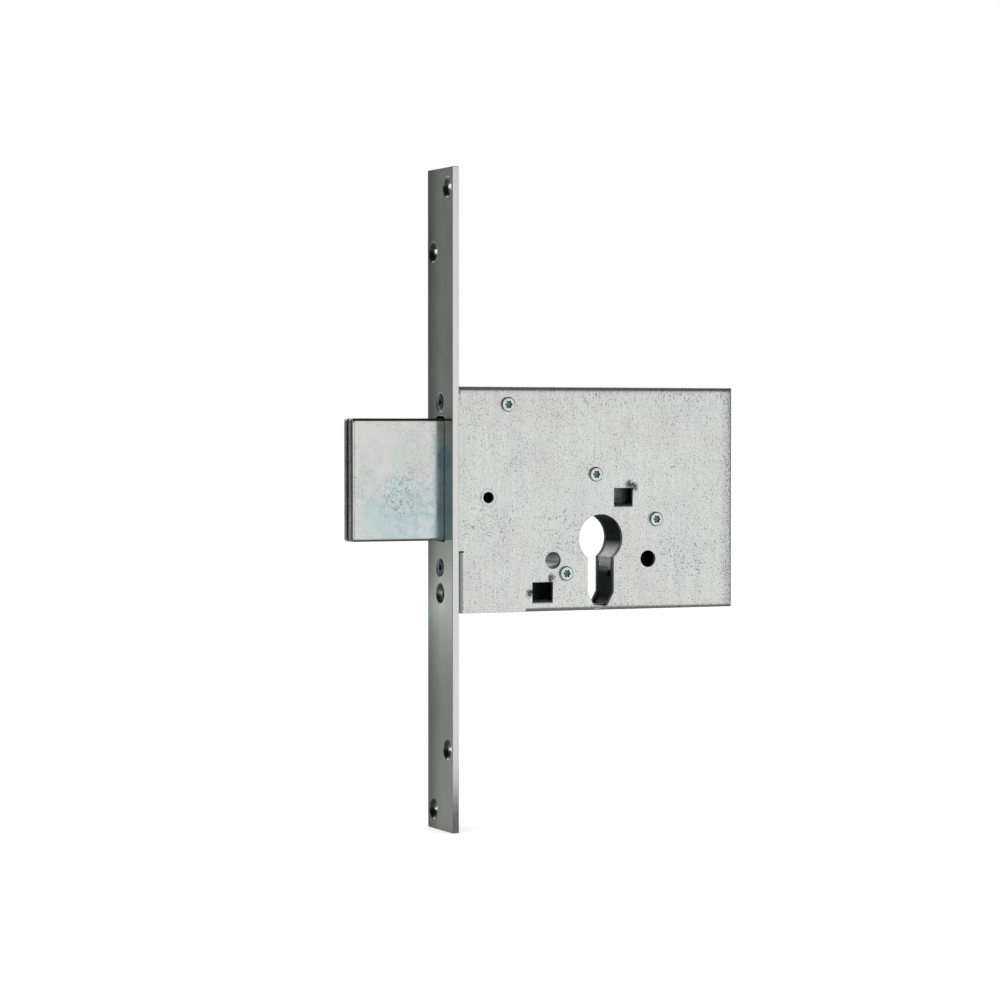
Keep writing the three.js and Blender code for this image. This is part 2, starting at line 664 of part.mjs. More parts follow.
const rivetPlaces = (() => {
  const xs = [boltFront + RIVET_EDGE, boltRear - RIVET_EDGE / 2 - RIVET_RADIUS / 2];
  const zs = [boltBottom + RIVET_EDGE, boltTop - RIVET_EDGE];
  return xs.flatMap((x) => zs.map((z) => ({ x, z })));
})();
const rivetNear = -tailNear - RIVET_DEPTH_IN_NEAR_PLATE;

function rivetHoles() {
  const radius = RIVET_RADIUS + RIVET_FIT;
  return rivetPlaces.map((at) => pinY(at, radius, rivetNear - RIVET_FIT, boltHalf + CUT_MARGIN));
}

// The rack's lower edge along the tail, from its rear end to its front end, as points.
function rackEdge(frontEnd, rearEnd) {
  const pitch = Math.PI * rackModule;
  const root = rackLine + DEDENDUM * rackModule;
  const tip = rackLine - ADDENDUM * rackModule;
  const slope = Math.tan(PRESSURE_ANGLE);
  const halfAt = (z) => pitch / 4 - BACKLASH / 4 + (z - rackLine) * slope;
  const last = Math.floor((rearEnd - transfer.x - halfAt(root)) / pitch);
  const first = Math.ceil((frontEnd - transfer.x + halfAt(root)) / pitch);
  const edge = [];
  for (let tooth = last; tooth >= first; tooth--) {
    const centre = transfer.x + tooth * pitch;
    edge.push(point(centre + halfAt(root), root), point(centre + halfAt(tip), tip));
    edge.push(point(centre - halfAt(tip), tip), point(centre - halfAt(root), root));
  }
  return { edge, root };
}

function tail() {
  const rackFront = transfer.x - BOLT_THROW - 2 * Math.PI * rackModule;
  const { edge, root } = rackEdge(rackFront, tailRear);
  const outline = [
    point(boltRear - CUT_MARGIN, tailTop),
    point(boltRear - CUT_MARGIN, root),
    ...[...edge].reverse(),
    point(tailRear, root),
    point(tailRear, tailTop),
  ];
  const slotHalf = STUD_RADIUS + STUD_FIT;
  const slot = [
    ...arc(guideStud.x, guideStud.z, slotHalf, -Math.PI / 2, Math.PI / 2, PIN_SIDES / 2),
    ...arc(guideStud.x - BOLT_THROW, guideStud.z, slotHalf, Math.PI / 2, 1.5 * Math.PI, PIN_SIDES / 2),
  ];
  const slotCut = plateY(slot, tailNear - CUT_MARGIN, tailFar + CUT_MARGIN);
  return cut(plateY(outline, tailNear, tailFar), slotCut);
}

// The driver ring: a slotted sleeve round the cylinder with a band of teeth and two journals.
const ringPhase = -Math.PI / 2 + Math.PI / RING_TEETH;

function driverRing() {
  const end = farInside - RING_END_GAP;
  const shoulderEnd = farInside - RING_BEARING_THICKNESS - END_PLAY;
  const body = join(
    pinY(origin, RING_JOURNAL_RADIUS, -end, end, RING_SIDES),
    pinY(origin, RING_SHOULDER_RADIUS, -shoulderEnd, shoulderEnd, RING_SIDES),
    plateY(gearOutline(RING_TEETH, PRIMARY_MODULE, ringPhase), primaryNear, primaryFar),
  );
  const bore = pinY(origin, PASSAGE_RADIUS, -farFace, farFace, RING_SIDES);
  const slot = block(-PASSAGE_WEB / 2, PASSAGE_WEB / 2, -farFace, farFace, -2 * ringTipRadius, 0);
  return cut(body, bore, slot);
}

function ringBearing(yNear, yFar) {
  const bore = RING_JOURNAL_RADIUS + RING_BEARING_FIT;
  const plate = pinY(cylinder, bore + RING_BEARING_WIDTH, yNear, yFar, RING_SIDES);
  const hole = pinY(cylinder, bore, yNear - CUT_MARGIN, yFar + CUT_MARGIN, RING_SIDES);
  const halfWeb = PASSAGE_WEB / 2;
  const slot = slice(BACKSET - halfWeb, BACKSET + halfWeb, -2 * bore, 0);
  return cut(plate, hole, slot);
}

function nearRingBearing() {
  const { x0, x1, z0, z1 } = windowBox(UPPER_WINDOW);
  const gap = RING_BEARING_WINDOW_GAP;
  const clear = slice(x0 - gap, x1 + gap, z0 - SHEET - gap, z1 + gap);
  return cut(ringBearing(nearInside, nearInside + RING_BEARING_THICKNESS), clear);
}

// A guide beside the cylinder's web, below the ring: a strip between the plates whose foot curls in
// under the web. It leaves room for the ring and its bearings. side is -1 for the left guide and 1
// for the right one.
function passageGuide(side) {
  const inner = PASSAGE_WEB / 2;
  const outer = inner + PASSAGE_GUIDE_WALL;
  const footCentre = caseBottom + SHEET - PASSAGE_WALL_RELIEF + inner;
  const foot = (radius) => arc(0, footCentre, radius, Math.PI, 1.5 * Math.PI, HOLE_SIDES / 4);
  const outline = [point(-inner, 0), ...foot(inner), ...foot(outer).reverse(), point(-outer, 0)];
  const placed = outline.map((p) => point(BACKSET - side * p.x, p.y));
  const strip = plateY(placed, nearInside, farInside);
  const footEnd = caseBottom + SHEET + PASSAGE_GUIDE_LIFT;
  const gap = PASSAGE_GUIDE_GAP;
  const bearingRadius = RING_JOURNAL_RADIUS + RING_BEARING_FIT + RING_BEARING_WIDTH + gap;
  const bearingEnd = farInside - RING_BEARING_THICKNESS - gap;
  const room = (radius, yNear, yFar) => pinY(cylinder, radius, yNear, yFar, RING_SIDES);
  return cut(
    strip,
    slice(BACKSET - 2 * outer, BACKSET + 2 * outer, footCentre - 2 * outer, footEnd),
    room(RING_SHOULDER_RADIUS + gap, -farFace, farFace),
    room(ringTipRadius + gap, primaryNear - gap, primaryFar + gap),
    room(bearingRadius, -farFace, -bearingEnd),
    room(bearingRadius, bearingEnd, farFace),
  );
}

const angleTo = (from, to) => Math.atan2(to.z - from.z, to.x - from.x);
const wheelPhase = 0;

// An idler: a wheel in mesh with the ring and, beside it, a pinion in mesh with the transfer wheel.
function idlerGear(at) {
  const wheelTurn = meshPhase(ringPhase, RING_TEETH, angleTo(cylinder, at), IDLER_TEETH);
  const pinionTurn = meshPhase(wheelPhase, WHEEL_TEETH, angleTo(transfer, at), IDLER_PINION_TEETH);
  const body = join(
    plateY(gearOutline(IDLER_TEETH, PRIMARY_MODULE, wheelTurn), primaryNear, primaryFar),
    plateY(gearOutline(IDLER_PINION_TEETH, SECONDARY_MODULE, pinionTurn), primaryFar, wheelFar),
  );
  const bore = pinY(origin, AXLE_RADIUS + RUNNING_FIT, primaryNear - CUT_MARGIN, wheelFar + CUT_MARGIN);
  return cut(body, bore);
}

const spigotRadius = AXLE_RADIUS + RUNNING_FIT + PINION_SPIGOT_WALL;

function transferWheel() {
  const wheel = plateY(gearOutline(WHEEL_TEETH, SECONDARY_MODULE, wheelPhase), wheelNear, wheelFar);
  const bore = pinY(origin, spigotRadius + PRESS_FIT, wheelNear - CUT_MARGIN, wheelFar + CUT_MARGIN);
  return cut(wheel, bore);
}

function rackPinion() {
  const phase = Math.PI / 2 + Math.PI / RACK_PINION_TEETH;
  const pinion = plateY(gearOutline(RACK_PINION_TEETH, rackModule, phase), wheelFar, rackPinionFar);
  const spigot = pinY(origin, spigotRadius, wheelNear, rackPinionFar);
  const bore = pinY(origin, AXLE_RADIUS + RUNNING_FIT, wheelNear - CUT_MARGIN, rackPinionFar + CUT_MARGIN);
  return cut(join(pinion, spigot), bore);
}

function transferAxle() {
  const clipNear = wheelNear - END_PLAY / 2 - CLIP_THICKNESS;
  return join(
    pinY(origin, AXLE_RADIUS, wheelNear - END_PLAY / 2, farInside),
    pinY(origin, RIVET_END_RADIUS, clipNear - CLIP_TO_END, farFace),
    pinY(origin, TRANSFER_SHOULDER_RADIUS, rackPinionFar + END_PLAY, farInside),
  );
}

function studPin() {
  const clipNear = tailNear - END_PLAY - CLIP_THICKNESS;
  return join(
    pinY(origin, STUD_RADIUS, tailNear - END_PLAY, farInside),
    pinY(origin, RIVET_END_RADIUS, clipNear - CLIP_TO_END, farFace),
    pinY(origin, STUD_SHOULDER_RADIUS, tailFar + GUIDE_SIDE_GAP, farInside),
  );
}

// A clip that snaps onto an axle's thin end: a ring with a mouth.
function clip(yFar) {
  const bore = RIVET_END_RADIUS + PRESS_FIT;
  const yNear = yFar - CLIP_THICKNESS;
  const disc = pinY(origin, CLIP_RADIUS, yNear, yFar);
  const half = bore * CLIP_MOUTH_SHARE;
  const mouth = block(-half, half, yNear - CUT_MARGIN, yFar + CUT_MARGIN, -2 * CLIP_RADIUS, 0);
  return cut(disc, pinY(origin, bore, yNear - CUT_MARGIN, yFar + CUT_MARGIN), mouth);
}

function idlerWasher() {
  const yFar = primaryNear - END_PLAY;
  const disc = pinY(origin, WASHER_RADIUS, nearInside, yFar);
  return cut(disc, pinY(origin, AXLE_RADIUS + RUNNING_FIT, nearInside - CUT_MARGIN, yFar + CUT_MARGIN));
}

function boltGuide(yNear, yFar) {
  const x0 = caseFront + GUIDE_TO_FOREND;
  return block(x0, x0 + GUIDE_LENGTH, yNear, yFar, boltBottom - GUIDE_OVERHANG, boltTop + GUIDE_OVERHANG);
}

function roseBush() {
  const outer = pinY(origin, ROSE_HOLE_RADIUS + BUSH_WALL, nearInside, farInside, HOLE_SIDES);
  const yNear = nearInside - CUT_MARGIN;
  return cut(outer, pinY(origin, ROSE_HOLE_RADIUS, yNear, farInside + CUT_MARGIN, HOLE_SIDES));
}

// The drag spring: a bowed strip whose ends bear on the top wall and whose belly lies over the tail.
function dragSpring() {
  const ends = CASE_TOP - SHEET;
  const belly = tailTop + SPRING_GAP;
  const bellyX = tailRear - SPRING_TO_TAIL_END;
  const height = ends - belly - SPRING_THICKNESS;
  const underside = Array.from({ length: SPRING_STEPS + 1 }, (_, i) => {
    const share = (2 * i) / SPRING_STEPS - 1;
    return point(bellyX + (share * SPRING_SPAN) / 2, belly + height * share ** 2);
  });
  const topside = underside.map((p) => point(p.x, p.y + SPRING_THICKNESS)).reverse();
  const middle = (tailNear + tailFar) / 2;
  return plateY([...underside, ...topside], middle - SPRING_WIDTH / 2, middle + SPRING_WIDTH / 2);
}

// Case
place("forend_plate", forendPlate(), zincForend);
place("case_body", caseBody(), zincSheet);
place("cover_plate", coverPlate(), zincSheet);
place("front_pillar", pillar(), turnedSteel, frontPillar);
place("lower_pillar", pillar(), turnedSteel, lowerPillar);
place("upper_idler_pillar", idlerPillar(), turnedSteel, upperIdler);
place("rear_idler_pillar", idlerPillar(), turnedSteel, rearIdler);
pillarPlaces.forEach((at, i) => {
  place(`case_screw_${i + 1}`, caseScrew(), blueZinc, at);
});
place("upper_forend_screw", forendScrew(), blueZinc, { x: 0, z: UPPER_FOREND_SCREW });
place("lower_forend_screw", forendScrew(), blueZinc, { x: 0, z: LOWER_FOREND_SCREW });
place("rose_bush", roseBush(), turnedSteel, leftRoseHole);
place("passage_guide_left", passageGuide(-1), blackRing);
place("passage_guide_right", passageGuide(1), blackRing);

// Bolt
const holes = rivetHoles();
const nearPlate = headPlate(boltFront, -boltHalf, -tailNear, true, false);
const middlePlate = headPlate(boltFront + CORE_RECESS, -tailNear, tailNear, false, false);
const farPlate = join(headPlate(boltFront, tailNear, tailFar, false, true), tail());
place("bolt_plate_near", cut(nearPlate, ...holes), zincBolt);
place("bolt_plate_middle", cut(middlePlate, ...holes), zincBolt);
place("bolt_plate_far", cut(farPlate, ...holes), zincBolt);
rivetPlaces.forEach((at, i) => {
  place(`bolt_rivet_${i + 1}`, pinY(origin, RIVET_RADIUS, rivetNear, boltHalf), turnedSteel, at);
});
place("bolt_guide_near", boltGuide(nearInside, -boltHalf - GUIDE_SIDE_GAP), turnedSteel);
place("bolt_guide_far", boltGuide(boltHalf + GUIDE_SIDE_GAP, farInside), turnedSteel);
place("guide_stud", studPin(), turnedSteel, guideStud);
place("guide_stud_clip", clip(tailNear - END_PLAY), springSteel, guideStud);
place("drag_spring", dragSpring(), springSteel);

// Gear train
place("driver_ring", driverRing(), blackRing, cylinder);
place("ring_bearing_near", nearRingBearing(), turnedSteel);
place("ring_bearing_far", ringBearing(farInside - RING_BEARING_THICKNESS, farInside), turnedSteel);
place("upper_idler_gear", idlerGear(upperIdler), sinteredSteel, upperIdler);
place("rear_idler_gear", idlerGear(rearIdler), sinteredSteel, rearIdler);
place("upper_idler_washer", idlerWasher(), turnedSteel, upperIdler);
place("rear_idler_washer", idlerWasher(), turnedSteel, rearIdler);
place("transfer_wheel", transferWheel(), sinteredSteel, transfer);
place("rack_pinion", rackPinion(), sinteredSteel, transfer);
place("transfer_axle", transferAxle(), turnedSteel, transfer);
place("transfer_clip", clip(wheelNear - END_PLAY / 2), springSteel, transfer);

export default lock;
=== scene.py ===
# %% [markdown]
# # A mortise deadlock, dressed from its solids
#
# The lock is thin folded sheet, a flat forend, a laminated bolt and a small gear train. The packed
# model gives every piece its true size and place. This lesson gives each one the rounded edges,
# the plating and the marks of use that the plain solids lack, and sets up the studio.

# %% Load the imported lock
import json
import math

import bmesh
import bpy
import numpy as np
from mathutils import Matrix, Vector


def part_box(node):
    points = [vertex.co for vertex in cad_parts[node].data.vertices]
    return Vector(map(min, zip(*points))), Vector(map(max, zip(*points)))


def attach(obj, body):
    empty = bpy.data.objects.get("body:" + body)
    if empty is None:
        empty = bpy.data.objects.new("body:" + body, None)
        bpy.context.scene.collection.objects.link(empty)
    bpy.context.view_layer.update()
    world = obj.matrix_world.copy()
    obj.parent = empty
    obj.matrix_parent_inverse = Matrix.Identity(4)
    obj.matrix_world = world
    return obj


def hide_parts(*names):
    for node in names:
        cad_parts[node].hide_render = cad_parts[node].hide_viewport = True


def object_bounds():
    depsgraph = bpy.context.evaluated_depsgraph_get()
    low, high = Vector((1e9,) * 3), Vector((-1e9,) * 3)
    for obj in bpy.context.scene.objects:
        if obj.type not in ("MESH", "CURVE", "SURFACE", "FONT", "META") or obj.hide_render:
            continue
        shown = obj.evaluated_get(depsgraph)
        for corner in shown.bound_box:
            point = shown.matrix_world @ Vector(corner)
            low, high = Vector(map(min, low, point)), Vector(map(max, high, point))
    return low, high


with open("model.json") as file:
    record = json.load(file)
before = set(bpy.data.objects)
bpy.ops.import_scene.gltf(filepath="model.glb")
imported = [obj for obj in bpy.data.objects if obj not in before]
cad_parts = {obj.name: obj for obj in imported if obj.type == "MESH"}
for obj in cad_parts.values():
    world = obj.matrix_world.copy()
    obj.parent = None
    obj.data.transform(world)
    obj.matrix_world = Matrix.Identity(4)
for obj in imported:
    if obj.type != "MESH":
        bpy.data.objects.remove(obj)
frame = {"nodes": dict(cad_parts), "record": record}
MM = 0.001
cad_low, cad_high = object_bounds()
print("solids:", len(frame["nodes"]), "box in mm:", [round(v / MM, 1) for v in (*cad_low, *cad_high)])

# %% [markdown]
# ## Camera
#
# The picture was taken with a long lens from the left front, almost level with the cylinder. A camera
# can be placed by eye, but a lens and a distance that were fitted to known points of the lock keep
# every edge where the picture has it, so the direction, distance and focal length are given here.

# %% Place the camera
CAMERA_YAW = math.radians(24.53)
CAMERA_PITCH = math.radians(1.28)
CAMERA_DISTANCE = 1.125
CAMERA_TARGET = Vector((0.0234, 0, 0.01402))
FOCAL_PIXELS = 3141
IMAGE_PIXELS = 1000
SENSOR = 36

gaze = Vector((
    math.sin(CAMERA_YAW) * math.cos(CAMERA_PITCH),
    math.cos(CAMERA_YAW) * math.cos(CAMERA_PITCH),
    -math.sin(CAMERA_PITCH),
))
camera = bpy.data.objects.new("camera", bpy.data.cameras.new("camera"))
camera.data.sensor_width = SENSOR
camera.data.lens = SENSOR * FOCAL_PIXELS / IMAGE_PIXELS
camera.location = CAMERA_TARGET - CAMERA_DISTANCE * gaze
camera.rotation_mode = "QUATERNION"
camera.rotation_quaternion = gaze.to_track_quat("-Z", "Y")
bpy.context.scene.collection.objects.link(camera)
bpy.context.scene.camera = camera
print("lens:", round(camera.data.lens, 1), "mm")

# %% [markdown]
# ## Node helpers
#
# Every finish below is a tree of nodes. Short helpers make a node, do a sum, mix two colours, map a
# range, stretch or move coordinates and add noise, so that each tree reads as a list of what it does.

# %% Helpers for node trees
def node(tree, kind, values=None, **settings):
    """Adds a node, sets its options, and gives each named socket a value or a link."""
    made = tree.nodes.new(kind)
    for option, value in settings.items():
        setattr(made, option, value)
    for socket, value in (values or {}).items():
        if isinstance(value, bpy.types.NodeSocket):
            tree.links.new(value, made.inputs[socket])
        else:
            made.inputs[socket].default_value = value
    return made


def maths(tree, operation, first, second=0.0, third=0.0):
    """The result of one sum on numbers."""
    made = node(tree, "ShaderNodeMath", {0: first, 1: second, 2: third}, operation=operation)
    return made.outputs[0]


def folded(tree, operation, values):
    """One operation taken over several values, two at a time."""
    result = values[0]
    for value in values[1:]:
        result = maths(tree, operation, result, value)
    return result


def product(tree, *values):
    """Several values multiplied together."""
    return folded(tree, "MULTIPLY", values)


def least(tree, *values):
    """The least of several values."""
    return folded(tree, "MINIMUM", values)


def most(tree, *values):
    """The greatest of several values."""
    return folded(tree, "MAXIMUM", values)


def mixed(tree, share, first, second):
    """A colour between two colours, by a share from 0 to 1."""
    made = node(tree, "ShaderNodeMix", {0: share, 6: first, 7: second}, data_type="RGBA")
    return made.outputs[2]


def ramped(tree, value, low, high, to_low=0.0, to_high=1.0):
    """A value mapped smoothly from one range to another, and held at the ends."""
    made = node(
        tree,
        "ShaderNodeMapRange",
        {0: value, 1: low, 2: high, 3: to_low, 4: to_high},
        interpolation_type="SMOOTHSTEP",
    )
    return made.outputs[0]


def parts(tree, vector):
    """The parts of a vector along X, Y and Z."""
    return node(tree, "ShaderNodeSeparateXYZ", {0: vector}).outputs


def stretched(tree, vector, scale):
    """Coordinates multiplied by a scale along each axis."""
    return node(tree, "ShaderNodeVectorMath", {0: vector, 1: scale}, operation="MULTIPLY").outputs[0]


def moved(tree, vector, step):
    """Coordinates moved by a step."""
    return node(tree, "ShaderNodeVectorMath", {0: vector, 1: step}, operation="ADD").outputs[0]


def away_from(tree, place, centre):
    """How far each point lies from a centre."""
    return node(tree, "ShaderNodeVectorMath", {0: place, 1: centre}, operation="DISTANCE").outputs["Value"]


def noise(tree, vector, scale, detail=3.0, rough=0.55):
    """Soft noise from about 0.2 to 0.8, with its scale in waves to the metre."""
    values = {"Vector": vector, "Scale": scale, "Detail": detail, "Roughness": rough}
    return node(tree, "ShaderNodeTexNoise", values).outputs[0]


def plug(tree, made, values):
    """Links values to a node's inputs, by the names of the inputs."""
    for socket, value in values.items():
        tree.links.new(value, made.inputs[socket])


# %% [markdown]
# ## Studio
#
# The lock was shown before a white sheet with one wide white panel to the right of the camera, in a
# dark room. So faces that look that way are pale, and every edge that turns away is drawn in black.
# A white world at a strength of 1 lets each metal show about the colour it is written with, and is the
# background too. The dark room is a round screen and a card on the floor that only reflections see.
# The card is greyer to the left, where the forend's front mirrors it. The floor keeps a soft shadow.

# %% Build the world and the lamp
WORLD_FOR_MATT = 0.82
WHITE = (1, 1, 1, 1)


def sees_background(tree):
    """1 for a ray that shows the background: from the camera, in a mirror or through glass."""
    rays = node(tree, "ShaderNodeLightPath").outputs
    return most(tree, rays["Is Camera Ray"], rays["Is Glossy Ray"], rays["Is Transmission Ray"])


world = bpy.data.worlds.new("white tent")
bpy.context.scene.world = world
world.use_nodes = True
sky = world.node_tree
sky.nodes.clear()
strength = ramped(sky, sees_background(sky), 0.0, 1.0, WORLD_FOR_MATT, 1.0)
tent = node(sky, "ShaderNodeBackground", {"Color": WHITE, "Strength": strength})
node(sky, "ShaderNodeOutputWorld", {"Surface": tent.outputs[0]})

LAMP_PLACE = Vector((-0.9, -1.1, 1.5))
LAMP_WIDTH = 1.6
LAMP_WATTS = 9

lamp = bpy.data.objects.new("soft lamp", bpy.data.lights.new("soft lamp", "AREA"))
lamp.data.size = LAMP_WIDTH
lamp.data.energy = LAMP_WATTS
lamp.location = LAMP_PLACE
lamp.visible_glossy = False
lamp.rotation_mode = "QUATERNION"
lamp.rotation_quaternion = (CAMERA_TARGET - LAMP_PLACE).to_track_quat("-Z", "Y")
bpy.context.scene.collection.objects.link(lamp)

view = bpy.context.scene.view_settings
view.view_transform = "Standard"
print("world for matt surfaces:", WORLD_FOR_MATT, "lamp:", LAMP_WATTS, "W")

# %% Lay the floor and set up the dark room
FLOOR_HALF = 30
FLOOR_GAP = 0.2 * MM
FLOOR_SHADE = 0.8
FLOOR_GLOW = 0.42
SCREEN_RADIUS = 1.7
SCREEN_STEPS = (48, 96)
DARK = 0.06
DARK_ABOVE = 0.03
LEFT_CENTRE = math.radians(180)
LEFT_SOFT = (math.cos(math.radians(86.4)), math.cos(math.radians(60)))
RIGHT_CENTRE = 0.0
RIGHT_SOFT = (math.cos(math.radians(42)), math.cos(math.radians(24)))
ABOVE_SOFT = (math.sin(math.radians(4)), math.sin(math.radians(38)))
BACKDROP_RISE = 0.6
FLOOR_DARK = 0.13
FLOOR_LEFT = 0.24
FLOOR_LEFT_SOFT = (-0.012, 0.012)
FLOOR_WHITE_FRONT = (-0.09, -0.17)
FLOOR_WHITE_RIGHT = (-0.08, 0.0)
FLOOR_CARD = ((-1.6, -1.6), (1.6, 1.1))


def surface_object(name, points, faces, material):
    """A stage object from points and faces."""
    mesh = bpy.data.meshes.new(name)
    mesh.from_pydata(points.tolist(), [], faces.tolist())
    mesh.materials.append(material)
    made = bpy.data.objects.new(name, mesh)
    bpy.context.scene.collection.objects.link(made)
    return made


def flat_panel(name, low, high, height, material):
    """A level rectangle between two corners in plan."""
    (x0, y0), (x1, y1) = low, high
    points = np.array([[x0, y0, height], [x1, y0, height], [x1, y1, height], [x0, y1, height]])
    return surface_object(name, points, np.array([[0, 1, 2, 3]]), material)


def round_screen(name, material):
    """A sphere about the lock. A point at a polar and a turning angle is the radius times the sine of
    the polar angle, times the cosine and sine of the turning angle, and the cosine for its height."""
    rows, around = SCREEN_STEPS
    polar, turning = np.meshgrid(
        np.linspace(0, math.pi, rows + 1),
        np.linspace(0, 2 * math.pi, around, endpoint=False),
        indexing="ij",
    )
    spots = np.stack([np.sin(polar) * np.cos(turning), np.sin(polar) * np.sin(turning), np.cos(polar)], -1)
    points = SCREEN_RADIUS * spots.reshape(-1, 3)
    row = np.arange(rows)[:, None] * around
    here = np.arange(around)[None, :]
    after = (here + 1) % around
    faces = np.stack([row + here, row + after, row + around + after, row + around + here], -1)
    return surface_object(name, points, faces.reshape(-1, 4), material)


def bare_tree(name):
    """A new material with an empty tree, its object coordinates and their three parts."""
    made = bpy.data.materials.new(name)
    made.use_nodes = True
    tree = made.node_tree
    tree.nodes.clear()
    place = node(tree, "ShaderNodeTexCoord").outputs["Object"]
    return made, tree, place, parts(tree, place)


def light_up(tree, level):
    """Ends a stage material as plain light of one level."""
    glow = node(tree, "ShaderNodeEmission", {"Color": WHITE, "Strength": level})
    node(tree, "ShaderNodeOutputMaterial", {"Surface": glow.outputs[0]})


def floor_finish():
    """Matt white that the camera and mirrors see a little brighter, so that it meets the background."""
    made, tree, _, _ = bare_tree("studio floor")
    paint = node(tree, "ShaderNodeBsdfDiffuse", {"Color": (FLOOR_SHADE, FLOOR_SHADE, FLOOR_SHADE, 1)})
    shine = product(tree, sees_background(tree), FLOOR_GLOW)
    glow = node(tree, "ShaderNodeEmission", {"Strength": shine})
    both = node(tree, "ShaderNodeAddShader", {0: paint.outputs[0], 1: glow.outputs[0]})
    node(tree, "ShaderNodeOutputMaterial", {"Surface": both.outputs[0]})
    return made


def screen_finish():
    """Dark to the left, to the far right and above, and white in the gaps between. The white backdrop
    behind the lock rises higher than the panel in front."""
    made, tree, place, axes = bare_tree("dark room")
    flat = stretched(tree, place, (1.0, 1.0, 0.0))
    way = node(tree, "ShaderNodeVectorMath", {0: flat}, operation="NORMALIZE").outputs[0]

    def towards(centre):
        """How nearly a way in plan points at a turning angle: 1 where it points straight at it."""
        aim = (math.cos(centre), math.sin(centre), 0.0)
        return node(tree, "ShaderNodeVectorMath", {0: way, 1: aim}, operation="DOT_PRODUCT").outputs["Value"]

    left = ramped(tree, towards(LEFT_CENTRE), *LEFT_SOFT)
    right = ramped(tree, towards(RIGHT_CENTRE), *RIGHT_SOFT)
    turned_back = most(tree, maths(tree, "DIVIDE", axes["Y"], SCREEN_RADIUS), 0.0)
    height = maths(tree, "DIVIDE", axes["Z"], SCREEN_RADIUS)
    above = ramped(tree, maths(tree, "MULTIPLY_ADD", turned_back, -BACKDROP_RISE, height), *ABOVE_SOFT)
    level = ramped(tree, most(tree, left, right), 0.0, 1.0, 1.0, DARK)
    lost = product(tree, above, maths(tree, "SUBTRACT", level, DARK_ABOVE))
    light_up(tree, maths(tree, "SUBTRACT", level, lost))
    return made


def floor_card_finish():
    """Dark floor round the lock, greyer to the left, that fades to white in front on the right."""
    made, tree, _, axes = bare_tree("dark floor")
    level = ramped(tree, axes["X"], *FLOOR_LEFT_SOFT, FLOOR_LEFT, FLOOR_DARK)
    front = ramped(tree, axes["Y"], *FLOOR_WHITE_FRONT)
    white = product(tree, front, ramped(tree, axes["X"], *FLOOR_WHITE_RIGHT))
    light_up(tree, maths(tree, "MULTIPLY_ADD", white, maths(tree, "SUBTRACT", 1.0, level), level))
    return made


floor_height = cad_low.z - FLOOR_GAP
flat_panel("floor", (-FLOOR_HALF, -FLOOR_HALF), (FLOOR_HALF, FLOOR_HALF), floor_height, floor_finish())
reflected = [
    round_screen("dark room", screen_finish()),
    flat_panel("dark floor", *FLOOR_CARD, floor_height + FLOOR_GAP / 2, floor_card_finish()),
]
for piece in reflected:
    piece.visible_camera = False
    piece.visible_diffuse = False
    piece.visible_transmission = False
    piece.visible_shadow = False
print("seen only in reflections:", [piece.name for piece in reflected])

# %% [markdown]
# ## Shared marks of plating and use
#
# Zinc plating is never one even grey. It has dark pin specks where the bath left dirt, cloudy tints
# from the blue and yellow passivation, drawn lines from the rolling of the sheet, scuffs, and bright
# worn edges. Each of these is one node group with named inputs, used by several finishes with its own
# values. A group could be a picture instead, but noise worked out from the object's own coordinates
# has no seams and needs no file.

# %% Make the groups
NOISE_MIDDLE = 0.5
DRIFT_WAVES = 0.06
SPECK_PEAK = 0.78
SPECK_REACH = 0.9
SPECK_RIM = 0.05
TINTS_APART = (3.1, 1.7, 2.3)
SECOND_TINT_WAVES = 1.6
FIRST_TINT_RANGE = (0.42, 0.66)
SECOND_TINT_RANGE = (0.45, 0.7)
SCUFF_WIDTH = 0.02
SCUFFED_WAVES = 130.0
SCUFFED_RANGE = (0.52, 0.64)
WEAR_WAVES = 900.0
WEAR_RANGE = (0.36, 0.6)
PLACE_INPUT = ("vector", None)
SQUEEZE_INPUT = ("vector", (1.0, 1.0, 1.0))


def effect(name, inputs, outputs):
    """A new node group with number, vector or colour sockets, and its input and output nodes."""
    group = bpy.data.node_groups.new(name, "ShaderNodeTree")
    kinds = {"number": "NodeSocketFloat", "vector": "NodeSocketVector", "colour": "NodeSocketColor"}
    for label, (kind, value) in inputs.items():
        socket = group.interface.new_socket(label, in_out="INPUT", socket_type=kinds[kind])
        if value is not None:
            socket.default_value = value
    for label, kind in outputs.items():
        group.interface.new_socket(label, in_out="OUTPUT", socket_type=kinds[kind])
    return group, group.nodes.new("NodeGroupInput").outputs, group.nodes.new("NodeGroupOutput")


def pin_specks():
    """Small dark dots in drifts: fine noise above a level that slower noise raises and lowers."""
    inputs = {
        "Place": PLACE_INPUT,
        "Size": ("number", 1.0),
        "Share": ("number", 0.1),
        "Drift": ("number", 0.35),
    }
    group, given, output = effect("pin specks", inputs, {"Specks": "number"})
    fine_scale = maths(group, "DIVIDE", 1.0, given["Size"])
    fine = noise(group, given["Place"], fine_scale, 1.5, 0.6)
    drift = noise(group, given["Place"], product(group, fine_scale, DRIFT_WAVES), 2.0)
    drifted = product(group, maths(group, "SUBTRACT", drift, NOISE_MIDDLE), given["Drift"])
    level = maths(group, "MULTIPLY_ADD", given["Share"], -SPECK_REACH, SPECK_PEAK)
    over = maths(group, "SUBTRACT", fine, maths(group, "SUBTRACT", level, drifted))
    plug(group, output, {"Specks": ramped(group, over, 0.0, SPECK_RIM)})
    return group


